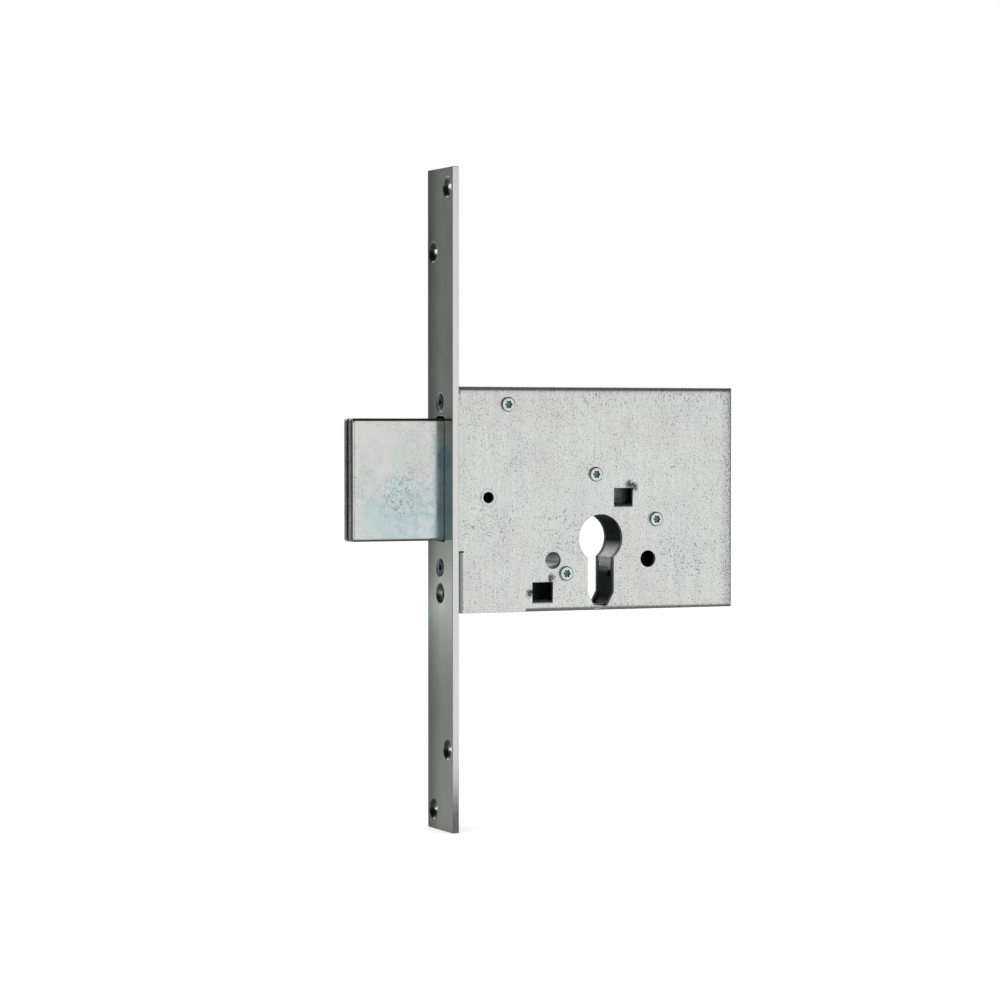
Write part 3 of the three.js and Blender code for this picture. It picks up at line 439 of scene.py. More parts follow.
def cloudy_tint():
    """Two pale tints that drift over a base colour, each by its own slow noise."""
    inputs = {
        "Place": PLACE_INPUT,
        "Size": ("number", 0.02),
        "Base": ("colour", None),
        "First": ("colour", None),
        "Second": ("colour", None),
        "Amount": ("number", 0.5),
    }
    group, given, output = effect("cloudy tint", inputs, {"Colour": "colour", "Cloud": "number"})
    scale = maths(group, "DIVIDE", 1.0, given["Size"])
    first = noise(group, given["Place"], scale, 3.0)
    apart = moved(group, given["Place"], TINTS_APART)
    second = noise(group, apart, product(group, scale, SECOND_TINT_WAVES), 4.0)
    first_share = product(group, ramped(group, first, *FIRST_TINT_RANGE), given["Amount"])
    second_share = product(group, ramped(group, second, *SECOND_TINT_RANGE), given["Amount"])
    colour = mixed(group, first_share, given["Base"], given["First"])
    colour = mixed(group, second_share, colour, given["Second"])
    plug(group, output, {"Colour": colour, "Cloud": second})
    return group


def drawn_lines():
    """Faint lines along one way: noise on coordinates squeezed along the line."""
    inputs = {"Place": PLACE_INPUT, "Squeeze": SQUEEZE_INPUT}
    group, given, output = effect("drawn lines", inputs, {"Lines": "number"})
    squeezed = stretched(group, given["Place"], given["Squeeze"])
    plug(group, output, {"Lines": noise(group, squeezed, 1.0, 4.0, 0.65)})
    return group


def cell_borders(tree, vector, scale, width):
    """Lines along the borders of a cell pattern: 1 on a border and 0 beyond its width."""
    values = {"Vector": vector, "Scale": scale}
    cells = node(tree, "ShaderNodeTexVoronoi", values, feature="DISTANCE_TO_EDGE")
    return ramped(tree, cells.outputs[0], 0.0, width, 1.0, 0.0)


def scuffs():
    """Thin scratches: the borders of a stretched cell pattern, kept only in patches."""
    inputs = {"Place": PLACE_INPUT, "Squeeze": SQUEEZE_INPUT, "Turn": ("number", 0.5)}
    group, given, output = effect("scuffs", inputs, {"Scuffs": "number"})
    turned = node(group, "ShaderNodeVectorRotate", {"Vector": given["Place"], "Angle": given["Turn"]})
    turned.rotation_type = "Y_AXIS"
    squeezed = stretched(group, turned.outputs[0], given["Squeeze"])
    line = cell_borders(group, squeezed, 1.0, SCUFF_WIDTH)
    kept = ramped(group, noise(group, given["Place"], SCUFFED_WAVES, 2.0), *SCUFFED_RANGE)
    plug(group, output, {"Scuffs": product(group, line, kept)})
    return group


def edge_wear():
    """Where a rounded edge is rubbed bright: the edge mark, broken up by noise."""
    inputs = {"Edge": ("number", 0.0), "Place": PLACE_INPUT, "Wear": ("number", 0.7)}
    group, given, output = effect("edge wear", inputs, {"Worn": "number"})
    broken = ramped(group, noise(group, given["Place"], WEAR_WAVES, 3.0), *WEAR_RANGE)
    plug(group, output, {"Worn": product(group, broken, given["Wear"], given["Edge"])})
    return group


SPECKS = pin_specks()
TINT = cloudy_tint()
LINES = drawn_lines()
SCUFFS = scuffs()
WEAR = edge_wear()
print("groups:", [group.name for group in bpy.data.node_groups])

# %% [markdown]
# ## Finishes
#
# All the metals share one plan. A finish starts from a base colour that drifts. It makes its masks,
# which say where a mark lies, and lays one shade after another over the colour: lines, specks, stains,
# scuffs, edges that are rubbed bright, and in several finishes painted light and shade. Every dressed
# piece carries two attributes that finishes read: how much a face belongs to a rounded edge, and where
# a point lies from the piece's own axis, for lathe rings. The screws carry a third, which says how
# much painted shade a face gets.

# %% Start a finish and place the shared marks
LINE_RANGE = (0.35, 0.65)
CLOUD_RANGE = (0.3, 0.7)
RAGGED_WAVES = 2.5


def attribute(tree, name, part="Fac"):
    """One of the attributes that dressed pieces carry."""
    return node(tree, "ShaderNodeAttribute", attribute_name=name).outputs[part]


def start_finish(name, metallic=1.0):
    """A material with its shader, the object's coordinates and the edge mark."""
    made = bpy.data.materials.new(name)
    made.use_nodes = True
    tree = made.node_tree
    tree.nodes.clear()
    shader = node(tree, "ShaderNodeBsdfPrincipled", {"Metallic": metallic})
    node(tree, "ShaderNodeOutputMaterial", {"Surface": shader.outputs[0]})
    place = node(tree, "ShaderNodeTexCoord").outputs["Object"]
    return made, tree, shader, place, attribute(tree, "edge")


def placed(tree, group, values):
    """A shared effect placed in a material with its own values. Returns its outputs."""
    return node(tree, "ShaderNodeGroup", values, node_tree=group).outputs


def specks_in(tree, place, size, share, drift=0.35):
    """Dark specks of a size, over a share of the surface, and how far they gather in drifts."""
    values = {"Place": place, "Size": size, "Share": share, "Drift": drift}
    return placed(tree, SPECKS, values)["Specks"]


def lines_in(tree, place, squeeze):
    """Drawn lines, with the waves to the metre along each axis."""
    return placed(tree, LINES, {"Place": place, "Squeeze": squeeze})["Lines"]


def scuffs_in(tree, place, squeeze, turn):
    """Scuffs, with the cells to the metre along each axis and their slant."""
    return placed(tree, SCUFFS, {"Place": place, "Squeeze": squeeze, "Turn": turn})["Scuffs"]


def worn_in(tree, place, edge, wear):
    """Worn edges, and how far they are worn."""
    return placed(tree, WEAR, {"Place": place, "Edge": edge, "Wear": wear})["Worn"]


def tint_in(tree, place, size, amount, base, first, second):
    """Clouds of a size and an amount, in a first and a second tint over a base colour."""
    values = {"Place": place, "Size": size, "Amount": amount}
    values |= {"Base": (*base, 1), "First": (*first, 1), "Second": (*second, 1)}
    return placed(tree, TINT, values)


def layered(tree, colour, rows):
    """A colour with shades laid over it in turn. A row is a mask, how much of its shade shows where
    the mask is 1, and the shade."""
    for mask, amount, shade in rows:
        share = mask if amount == 1 else product(tree, mask, amount)
        colour = mixed(tree, share, colour, (*shade, 1))
    return colour


def bumped(tree, shader, height, distance, strength=1.0):
    """Gives the shader a bump from a height, in metres of depth."""
    values = {"Height": height, "Distance": distance, "Strength": strength}
    plug(tree, shader, {"Normal": node(tree, "ShaderNodeBump", values).outputs[0]})


def patch(tree, place, centre, reach, core, ragged=0.35):
    """A soft round patch with a ragged rim: 1 within the core share of its reach, 0 beyond it."""
    uneven = maths(tree, "SUBTRACT", noise(tree, place, RAGGED_WAVES / reach, 4.0), NOISE_MIDDLE)
    away = maths(tree, "MULTIPLY_ADD", uneven, 2 * ragged * reach, away_from(tree, place, centre))
    return ramped(tree, away, reach, core * reach)


# %% [markdown]
# ### Rolled zinc sheet
#
# The case is cut from galvanised sheet: pale, with fine upright rolling lines, thousands of dark pin
# specks, and more of them in a band where it was bent. That band, the top fold and the foot also get
# painted shade, where the sheet turns away from the light. Short dark dashes lie under the top fold
# and black smudges by the two windows. The inner faces of the walls and the cut edges of the openings
# get a streaky dark painted shade. The lug that shows in the notch beside the forend is bare and
# nearly matt. A painted mask could place all this, but here each place is a distance from the case's
# own box, so it stays with the sheet.

# %% Zinc sheet
case_low, case_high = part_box("case_body")
SHEET = 1.5 * MM
SMUDGES = (((73.3, 18.5), 2.5), ((71.4, 19.4), 2.3), ((40.2, -14.1), 2.2), ((31.7, -19.2), 2.4))
SIGHT_HOLE = (15.5, 15.1)
SIGHT_RIM = 3.1 * MM
PLAIN_EDGE = 27.5 * MM
DASHES_FROM = (20 * MM, 60 * MM)
SHEET_METALLIC = 0.88
LUG_METALLIC = 0.08
LUG = {"right": 6.8 * MM, "top": -3.9 * MM, "far": -3 * MM}


def on_face(spot):
    """A point on the screwed face, from its place along and up in millimetres."""
    return (spot[0] * MM, case_low.y, spot[1] * MM)


def zinc_sheet():
    """The case's sheet, with each mark placed by a distance from the case's own box."""
    made, tree, shader, place, edge = start_finish("rolled zinc sheet")
    x, y, z = parts(tree, place)
    to_back = maths(tree, "SUBTRACT", case_high.x, x)
    to_top = maths(tree, "SUBTRACT", case_high.z, z)
    to_bottom = maths(tree, "SUBTRACT", z, case_low.z)
    to_near = maths(tree, "SUBTRACT", y, case_low.y)
    to_far = maths(tree, "SUBTRACT", case_high.y, y)

    # Zones: the back bend, painted shade on the top fold and foot, the dashes, the lug, the inner faces
    bend = ramped(tree, to_back, 0.8 * MM, 6.5 * MM, 1.0, 0.0)
    fold = ramped(tree, to_top, 0.4 * MM, 3.2 * MM, 1.0, 0.0)
    foot = product(
        tree,
        ramped(tree, to_bottom, 0.4 * MM, 2.6 * MM, 0.15, 0.0),
        ramped(tree, x, PLAIN_EDGE - 0.5 * MM, PLAIN_EDGE + 0.5 * MM),
    )
    dashed = product(tree, ramped(tree, to_top, 3.5 * MM, 9.5 * MM, 1.0, 0.0), ramped(tree, x, *DASHES_FROM))
    lug = least(
        tree,
        ramped(tree, x, LUG["right"], LUG["right"] - 0.2 * MM),
        ramped(tree, z, LUG["top"], LUG["top"] - 0.3 * MM),
        ramped(tree, y, LUG["far"], LUG["far"] - 0.5 * MM),
        ramped(tree, to_near, 0.1 * MM, 0.25 * MM),
    )
    walls = ramped(tree, least(tree, to_back, to_top, to_bottom), 0.85 * SHEET, 0.97 * SHEET)
    between = ramped(tree, least(tree, to_near, to_far), 0.1 * MM, 0.25 * MM)
    # Painted shade mask: faces off the outer skin, so the inner faces and the cut edges, less the lug.
    inside = product(tree, walls, between, maths(tree, "SUBTRACT", 1.0, lug))

    # Marks: rolling lines, broad bands, three sizes of speck, dashes, smudges and the sight hole's rim
    tint = tint_in(tree, place, 30 * MM, 0.5, (0.82, 0.83, 0.815), (0.75, 0.83, 0.8), (0.845, 0.8, 0.82))
    lines = lines_in(tree, place, (1500.0, 1500.0, 90.0))
    bands = lines_in(tree, place, (420.0, 420.0, 28.0))
    dashes = ramped(tree, lines_in(tree, place, (1700.0, 1700.0, 330.0)), 0.55, 0.66)
    dashes = product(tree, dashes, maths(tree, "MULTIPLY_ADD", dashed, 0.5, 0.14))
    share = maths(tree, "MULTIPLY_ADD", bend, 0.09, 0.195)
    specks = specks_in(tree, place, 0.5 * MM, share, 0.1)
    fine = specks_in(tree, place, 0.3 * MM, 0.25, 0.1)
    spots = specks_in(tree, place, 0.9 * MM, 0.12)
    stains = [patch(tree, place, on_face(spot), reach * MM, 0.15, 0.7) for spot, reach in SMUDGES]
    grains = ramped(tree, noise(tree, place, 1500.0), 0.3, 0.6, 0.45, 1.0)
    smudge = product(tree, most(tree, *stains), grains)
    off_rim = maths(tree, "SUBTRACT", away_from(tree, place, on_face(SIGHT_HOLE)), SIGHT_RIM)
    rim = ramped(tree, maths(tree, "ABSOLUTE", off_rim), 0.1 * MM, 0.3 * MM, 0.3, 0.0)

    colour = layered(tree, tint["Colour"], [
        (ramped(tree, lines, *LINE_RANGE), 0.12, (0.5, 0.52, 0.51)),
        (ramped(tree, bands, *LINE_RANGE), 0.13, (0.5, 0.53, 0.5)),
        # Painted shade: the back bend, the top fold and the foot darken where they turn from the light.
        (bend, 0.27, (0.34, 0.35, 0.35)),
        (most(tree, fold, foot), 0.42, (0.3, 0.31, 0.31)),
        (rim, 1, (0.3, 0.32, 0.32)),
        (fine, 0.35, (0.36, 0.38, 0.38)),
        (dashes, 1, (0.2, 0.21, 0.21)),
        (specks, 0.75, (0.13, 0.14, 0.14)),
        (spots, 0.6, (0.15, 0.16, 0.16)),
        (smudge, 0.95, (0.07, 0.07, 0.07)),
        (worn_in(tree, place, edge, 0.15), 1, (0.78, 0.79, 0.78)),
        (lug, 0.9, (0.5, 0.51, 0.485)),
    ])
    # Painted shade on the inner faces and cut edges, streaked along the rolling lines.
    inner_shade_colour = mixed(tree, ramped(tree, lines, 0.4, 0.62), (0.04, 0.055, 0.05, 1), (0.2, 0.23, 0.21, 1))
    colour = mixed(tree, product(tree, inside, 0.88), colour, inner_shade_colour)
    rough = maths(tree, "MULTIPLY_ADD", specks, 0.2, ramped(tree, tint["Cloud"], *CLOUD_RANGE, 0.33, 0.38))
    rough = maths(tree, "MULTIPLY_ADD", most(tree, lug, smudge), 0.35, rough)
    metallic = maths(tree, "MULTIPLY_ADD", lug, LUG_METALLIC - SHEET_METALLIC, SHEET_METALLIC)
    plug(tree, shader, {"Base Color": colour, "Roughness": rough, "Metallic": metallic})
    height = maths(tree, "MULTIPLY_ADD", specks, -0.6, product(tree, lines, 0.35))
    bumped(tree, shader, height, 0.02 * MM)
    return made


# %% [markdown]
# ### Plated forend
#
# The forend is thicker steel with a brighter plating that mirrors what is near it. It is grey green
# with lines along its length. Painted shade darkens it towards its far edge, a little less low down,
# and one band of its lower half is darker and greener. Its other faces get painted light and shade
# by the way they face: the narrow edge its own pale grey, the cones of the sunk holes dark, and the
# walls of the holes behind them light.

# %% Forend finish
FOREND_HALF_WIDTH = 11 * MM
SPECK_CLUSTER = (0.0, 1.4 * MM, 69 * MM)
GREEN_BAND_TOP = (-15 * MM, -35 * MM)
GREEN_BAND_BOTTOM = (-85 * MM, -60 * MM)


def zinc_forend():
    """The forend's plating, with painted light and shade on its faces by the way they face."""
    made, tree, shader, place, edge = start_finish("plated forend steel")
    x, y, z = parts(tree, place)
    facing_x, facing_y, _ = parts(tree, node(tree, "ShaderNodeNewGeometry").outputs["Normal"])
    to_front = product(tree, facing_x, -1.0)
    to_near = product(tree, facing_y, -1.0)
    off_edge = ramped(tree, y, 0.6 * MM - FOREND_HALF_WIDTH, 0.8 * MM - FOREND_HALF_WIDTH)
    # Painted light and shade by facing: the narrow edge, dark hole cones and light hole walls.
    narrow = product(tree, maths(tree, "SUBTRACT", 1.0, off_edge), ramped(tree, to_near, 0.5, 0.9))
    bore_light = product(tree, off_edge, ramped(tree, to_near, 0.8, 0.95))
    cone_shade = product(
        tree,
        ramped(tree, x, 0.2 * MM, 0.3 * MM),
        ramped(tree, to_front, 0.2, 0.5),
        ramped(tree, to_near, -0.1, 0.45),
    )
    # Painted shade: darker towards the far edge, a little less low down and at the top.
    far_edge_shade = product(
        tree,
        ramped(tree, y, -3 * MM, FOREND_HALF_WIDTH + 1 * MM),
        ramped(tree, z, -50 * MM, 20 * MM, 0.79, 1.0),
        ramped(tree, z, 30 * MM, 90 * MM, 1.0, 0.93),
    )
    green_band = least(tree, ramped(tree, z, *GREEN_BAND_TOP), ramped(tree, z, *GREEN_BAND_BOTTOM))

    tint = tint_in(tree, place, 40 * MM, 0.75, (0.89, 0.93, 0.895), (0.76, 0.93, 0.78), (0.91, 0.92, 0.86))
    lines = lines_in(tree, place, (1400.0, 1400.0, 30.0))
    specks = specks_in(tree, place, 0.4 * MM, 0.09)
    cluster = specks_in(tree, place, 0.3 * MM, 0.2)
    cluster = product(tree, cluster, patch(tree, place, SPECK_CLUSTER, 6 * MM, 0.1, 0.9))
    marks = scuffs_in(tree, place, (130.0, 400.0, 60.0), 0.35)
    colour = layered(tree, tint["Colour"], [
        (ramped(tree, lines, *LINE_RANGE), 0.12, (0.52, 0.56, 0.53)),
        (far_edge_shade, 1, (0.26, 0.3, 0.265)),
        (green_band, 0.2, (0.25, 0.36, 0.26)),
        (narrow, 1, (0.66, 0.67, 0.66)),
        (cone_shade, 0.9, (0.08, 0.09, 0.085)),
        (bore_light, 1, (0.85, 0.86, 0.85)),
        (marks, 0.2, (0.8, 0.82, 0.8)),
        (specks, 0.5, (0.25, 0.26, 0.25)),
        (cluster, 0.5, (0.2, 0.21, 0.2)),
        (worn_in(tree, place, edge, 0.25), 1, (0.78, 0.8, 0.78)),
    ])
    rough = maths(tree, "MULTIPLY_ADD", marks, 0.1, ramped(tree, tint["Cloud"], *CLOUD_RANGE, 0.16, 0.22))
    plug(tree, shader, {"Base Color": colour, "Roughness": rough})
    bumped(tree, shader, maths(tree, "MULTIPLY_ADD", specks, -0.5, product(tree, lines, 0.5)), 0.008 * MM)
    return made


# %% [markdown]
# ### Plated bolt
#
# The bolt has the same plating, blotched with pale blue and green where the passivation lay heavily,
# mostly low down near the forend. Beside the forend it carries a dark blue painted reflection of the
# forend, and its rounded edges get painted shade, less along the bottom. A net of fine scratches lies
# over it. The net is made of the borders of small cells. Borders alone look woven, so the coordinates
# are shaken and the net is broken up.

# %% Bolt finish
BLUE_PATCH = (-13.5 * MM, -4 * MM, 8.5 * MM)
GREEN_PATCH = (-26.5 * MM, -4 * MM, 9.5 * MM)
SCRATCH_PATCH = (-14.8 * MM, -4 * MM, 15.5 * MM)
FOREND_REFLECTION_SPAN = (-5 * MM, -1.4 * MM)
SHAKE = 2.4 * MM


def scratch_net(tree, place):
    """A broken net of fine scratches within one ragged patch."""
    shake = node(tree, "ShaderNodeTexNoise", {"Vector": place, "Scale": 500.0, "Detail": 3.0})
    shaken = moved(tree, place, stretched(tree, shake.outputs["Color"], (SHAKE, SHAKE, SHAKE)))
    borders = cell_borders(tree, shaken, 700.0, 0.09)
    broken = ramped(tree, noise(tree, place, 900.0, 2.0), 0.42, 0.58)
    return product(tree, borders, broken, patch(tree, place, SCRATCH_PATCH, 14 * MM, 0.2, 0.5))


def zinc_bolt():
    """The bolt's plating: tinted patches, a painted reflection, painted edge shade and a net of scratches.
    """
    made, tree, shader, place, edge = start_finish("plated bolt steel")
    x, _, z = parts(tree, place)
    mottle = ramped(tree, noise(tree, place, 420.0, 4.0), 0.4, 0.62)
    mottled = maths(tree, "MULTIPLY_ADD", mottle, 0.55, 0.28)
    wavy = maths(tree, "MULTIPLY_ADD", noise(tree, place, 300.0, 3.0), 6 * MM, z)
    # Painted reflection: the forend mirrored in dark blue on the bolt's side next to it.
    forend_reflection = product(tree, ramped(tree, x, *FOREND_REFLECTION_SPAN), ramped(tree, wavy, 43 * MM, 34 * MM, 0.0, 0.8))
    # Painted shade on the rounded edges, less along the bottom edge.
    rim = product(tree, edge, ramped(tree, z, 0.5 * MM, 3 * MM, 0.3, 0.75))

    pale, green, pink = (0.665, 0.665, 0.655), (0.57, 0.645, 0.605), (0.64, 0.615, 0.635)
    tint = tint_in(tree, place, 9 * MM, 0.85, pale, green, pink)
    specks = specks_in(tree, place, 0.4 * MM, 0.15)
    marks = scuffs_in(tree, place, (90.0, 90.0, 260.0), 0.75)
    colour = layered(tree, tint["Colour"], [
        (patch(tree, place, GREEN_PATCH, 9 * MM, 0.2), 0.6, (0.5, 0.64, 0.58)),
        (patch(tree, place, BLUE_PATCH, 19 * MM, 0.35), mottled, (0.44, 0.6, 0.635)),
        (forend_reflection, 1, (0.33, 0.52, 0.6)),
        (specks_in(tree, place, 1 * MM, 0.13), 0.25, (0.3, 0.36, 0.35)),
        (specks, 0.5, (0.25, 0.28, 0.27)),
        (marks, 0.5, (0.3, 0.32, 0.3)),
        (scratch_net(tree, place), 0.85, (0.12, 0.15, 0.13)),
        (worn_in(tree, place, edge, 0.15), 1, (0.75, 0.76, 0.75)),
        (rim, 1, (0.22, 0.23, 0.22)),
    ])
    rough = maths(tree, "MULTIPLY_ADD", mottle, 0.05, ramped(tree, tint["Cloud"], *CLOUD_RANGE, 0.15, 0.22))
    plug(tree, shader, {"Base Color": colour, "Roughness": rough})
    bumped(tree, shader, maths(tree, "MULTIPLY_ADD", specks, -0.6, product(tree, marks, -0.5)), 0.01 * MM)
    return made


# %% [markdown]
# ### Screws, lathe work, sintered gears and spring steel
#
# These are small pieces seen close through the openings or from the back, so each finish leans on one
# telling mark: blue passivation on the screws, lathe rings round the axis on turned parts, open pores
# on the pressed-powder gears, and heat colours on springs and clips. Painted shade darkens the recess
# of a screw and the rounding of its head, the whole head of a forend screw, and every small part that
# lies in the cylinder's passage.

# %% Finishes of the small parts
PASSAGE_MIDDLE = (60 * MM, 0.0, -8 * MM)
PASSAGE_REACH = 8.5 * MM
GRAIN_WAVES = 2600.0
GRAIN_DEPTH = 0.006 * MM
SMALL_METALS = {
    "blue_zinc": {
        "base": (0.66, 0.72, 0.69),
        "drift": (0.52, 0.66, 0.68),
        "dark": (0.62, 0.67, 0.6),
        "rough": 0.2,
        "specked": 0.06,
        "ring_spacing": 0.18 * MM,
    },
    "turned_steel": {
        "base": (0.56, 0.57, 0.57),
        "drift": (0.5, 0.52, 0.53),
        "dark": (0.42, 0.42, 0.41),
        "rough": 0.28,
        "specked": 0.05,
        "ring_spacing": 0.16 * MM,
    },
    "sintered_steel": {
        "base": (0.27, 0.28, 0.29),
        "drift": (0.22, 0.23, 0.24),
        "dark": (0.17, 0.17, 0.17),
        "rough": 0.42,
        "specked": 0.3,
    },
    "spring_steel": {
        "base": (0.17, 0.2, 0.24),
        "drift": (0.15, 0.16, 0.24),
        "dark": (0.2, 0.17, 0.15),
        "rough": 0.3,
        "specked": 0.06,
    },
}


def rings_from(tree, from_axis, spacing):
    """Lathe rings: a wave of the distance from the piece's own axis, which runs along Y."""
    flat = stretched(tree, from_axis, (1.0, 0.0, 1.0))
    radius = node(tree, "ShaderNodeVectorMath", {0: flat}, operation="LENGTH").outputs["Value"]
    uneven = maths(tree, "MULTIPLY_ADD", noise(tree, from_axis, 500.0, 2.0), spacing, radius)
    return maths(tree, "SINE", product(tree, uneven, 2 * math.pi / spacing))


def small_metal(name, base, drift, dark, rough, specked, ring_spacing=None):
    """The shared plan for small metal parts: drifting colour, specks, rings or grain, worn edges."""
    made, tree, shader, place, edge = start_finish(name)
    tint = tint_in(tree, place, 4 * MM, 0.5, base, drift, dark)
    specks = specks_in(tree, place, 0.3 * MM, specked)
    across = stretched(tree, place, (1.0, 0.0, 1.0))
    colour = layered(tree, tint["Colour"], [
        (specks, 0.6, [v * 0.4 for v in dark]),
        (worn_in(tree, place, edge, 0.75), 1, [min(1.0, v * 1.35 + 0.06) for v in base]),
        # Painted shade: the screws' attribute darkens their recess, head rim and the forend screw heads.
        (attribute(tree, "screw_shade"), 0.9, (0.035, 0.1, 0.1)),
        # Painted shade: small parts lying in the cylinder's passage are made nearly black.
        (patch(tree, across, PASSAGE_MIDDLE, PASSAGE_REACH, 0.8, 0.1), 0.9, (0.01, 0.02, 0.018)),
    ])
    level = ramped(tree, tint["Cloud"], *CLOUD_RANGE, rough - 0.05, rough + 0.07)
    plug(tree, shader, {"Base Color": colour, "Roughness": maths(tree, "MULTIPLY_ADD", specks, 0.15, level)})
    grain = noise(tree, place, GRAIN_WAVES, 2.0)
    if ring_spacing:
        rings = rings_from(tree, attribute(tree, "from_axis", "Vector"), ring_spacing)
        grain = maths(tree, "MULTIPLY_ADD", rings, 0.5, grain)
    bumped(tree, shader, maths(tree, "MULTIPLY_ADD", specks, -0.8, grain), GRAIN_DEPTH)
    return made


# %% [markdown]
# ### The black ring
#
# The ring and the strips under it are oiled black, so nearly nothing shows but a trace of green. At
# the neck of the passage a painted sheen stands in for the shine there: a grey patch made metal. A
# lamp could make that shine, but only from one side. A mask in the piece's own coordinates shows
# from every side.

# %% Black ring finish
SHEEN_TOP = (-0.5 * MM, -6 * MM)
SHEEN_BOTTOM = (-13 * MM, -7 * MM)
SHEEN_RIGHT = (60 * MM, 61 * MM)
SHEEN_SIDES = (6.5 * MM, 3 * MM)


def black_ring():
    """Oiled black, with a painted sheen at the neck of the passage."""
    made, tree, shader, place, edge = start_finish("oiled black ring", metallic=0.0)
    x, y, z = parts(tree, place)
    cloud = noise(tree, place, 260.0, 4.0)
    # Painted sheen: a grey metal patch at the neck stands in for the shine there.
    painted_sheen = least(
        tree,
        ramped(tree, z, *SHEEN_TOP),
        ramped(tree, z, *SHEEN_BOTTOM),
        ramped(tree, x, *SHEEN_RIGHT),
        ramped(tree, maths(tree, "ABSOLUTE", y), *SHEEN_SIDES),
    )
    painted_sheen = product(tree, painted_sheen, ramped(tree, noise(tree, place, 1800.0, 3.0), 0.3, 0.65, 0.75, 1.0))
    black = mixed(tree, ramped(tree, cloud, *LINE_RANGE), (0.003, 0.011, 0.009, 1), (0.006, 0.018, 0.015, 1))
    colour = layered(tree, black, [
        (specks_in(tree, place, 0.5 * MM, 0.12), 0.4, (0.03, 0.05, 0.045)),
        (painted_sheen, 1, (0.9, 0.95, 0.92)),
    ])
    rough = maths(tree, "MULTIPLY_ADD", painted_sheen, 0.3, ramped(tree, cloud, *CLOUD_RANGE, 0.16, 0.24))
    oil = maths(tree, "SUBTRACT", 1.0, edge)
    shine = product(tree, oil, maths(tree, "MULTIPLY_ADD", painted_sheen, 0.3, 0.03))
    plug(tree, shader, {"Base Color": colour, "Roughness": rough})
    plug(tree, shader, {"Metallic": painted_sheen, "Specular IOR Level": shine})
    bumped(tree, shader, noise(tree, place, 700.0, 3.0), 0.012 * MM, 0.6)
    return made


FINISHES = {
    "zinc_sheet": zinc_sheet(),
    "zinc_forend": zinc_forend(),
    "zinc_bolt": zinc_bolt(),
    "black_ring": black_ring(),
}
for slot, values in SMALL_METALS.items():
    FINISHES[slot] = small_metal(slot.replace("_", " "), **values)
print("finishes:", sorted(FINISHES))

# %% [markdown]
# ## Rounded copies of the solids
#
# The solids are exact but their edges are knife sharp, and no stamped or cast edge is. A copy of a
# solid is merged from its loose triangles, its flat faces are joined up, and every sharp edge is
# rounded by about a tenth of a millimetre. The rounding could be left to a Bevel modifier, but done in
# the mesh it can also mark its own new faces, and the finishes use that mark for edge wear.

# %% Round a solid's edges
record = frame["record"]
BODY_OF = {name: body for body, names in record["behaviour"]["bodies"].items() for name in names}
SLOT_OF = {row["node"]: row["material_slot"] for row in record["subparts"]}
MERGE_WITHIN = 0.001 * MM
FLAT_WITHIN = math.radians(0.4)
SHARP_FROM = math.radians(33)
SHADED_SHARP_FROM = SHARP_FROM + math.radians(5)
WIDE_EXTRA_STEPS = 2


def dress(piece, names, from_axis):
    """Gives a finished piece its material, its attributes and its place on the lock."""
    mesh = piece.data
    mesh.materials.clear()
    mesh.materials.append(FINISHES[SLOT_OF[names[0]]])
    spots = np.empty(len(mesh.vertices) * 3, np.float32)
    mesh.vertices.foreach_get("co", spots)
    centred = spots.reshape(-1, 3) - np.array(from_axis, np.float32)
    mesh.attributes.new("from_axis", "FLOAT_VECTOR", "POINT").data.foreach_set("vector", centred.ravel())
    bpy.context.scene.collection.objects.link(piece)
    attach(piece, BODY_OF[names[0]])
    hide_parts(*names)
    return piece


def round_edges(mesh_net, chosen, width, steps):
    """Bevels the chosen edges and returns the new faces."""
    if not chosen:
        return []
    made = bmesh.ops.bevel(
        mesh_net,
        geom=chosen,
        offset=width,
        offset_type="OFFSET",
        segments=steps,
        profile=0.5,
        affect="EDGES",
        clamp_overlap=False,
    )
    return made["faces"]


def rounded_copy(name, width, steps=2, wide=None, split=False):
    """A merged copy of a CAD solid with its sharp edges rounded by width, in metres. Where wide is
    given, as a width and a test of an edge's middle, those edges are rounded first and more. Where
    split is true, large flat faces stay split, which a face bent round on itself needs."""
    source = frame["nodes"][name]
    net = bmesh.new()
    net.from_mesh(source.data)
    bmesh.ops.remove_doubles(net, verts=net.verts, dist=MERGE_WITHIN)
    bmesh.ops.dissolve_limit(net, angle_limit=FLAT_WITHIN, verts=net.verts, edges=net.edges)
    if split:
        bmesh.ops.triangulate(net, faces=[face for face in net.faces if len(face.verts) > 4])
    mark = net.faces.layers.float.new("edge")

    def sharp(test):
        """Sharp edges whose middle passes a test, apart from those of faces already rounded."""
        return [
            edge
            for edge in net.edges
            if edge.is_manifold
            and edge.calc_face_angle(0) > SHARP_FROM
            and not any(face[mark] for face in edge.link_faces)
            and test((edge.verts[0].co + edge.verts[1].co) / 2)
        ]

    if wide:
        for face in round_edges(net, sharp(wide[1]), wide[0], steps + WIDE_EXTRA_STEPS):
            face[mark] = 1.0
    for face in round_edges(net, sharp(lambda middle: True), width, steps):
        face[mark] = 1.0
    mesh = bpy.data.meshes.new(name + "_dressed")
    net.to_mesh(mesh)
    net.free()
    mesh.shade_smooth()
    mesh.set_sharp_from_angle(angle=SHADED_SHARP_FROM)
    piece = bpy.data.objects.new(name + "_dressed", mesh)
    even = piece.modifiers.new("even shading", "WEIGHTED_NORMAL")
    even.keep_sharp = True
    low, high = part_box(name)
    return dress(piece, [name], ((low + high) / 2))


# %% [markdown]
# ### Sheet parts and the forend
#
# Punched sheet has a small roll on its edges, less than a tenth of its thickness. The forend's edges
# are dressed a little more, so that a hand can pass over them.

# %% Dress the case, the cover and the forend
PUNCHED_EDGE = 0.1 * MM
FOREND_EDGE = 0.2 * MM

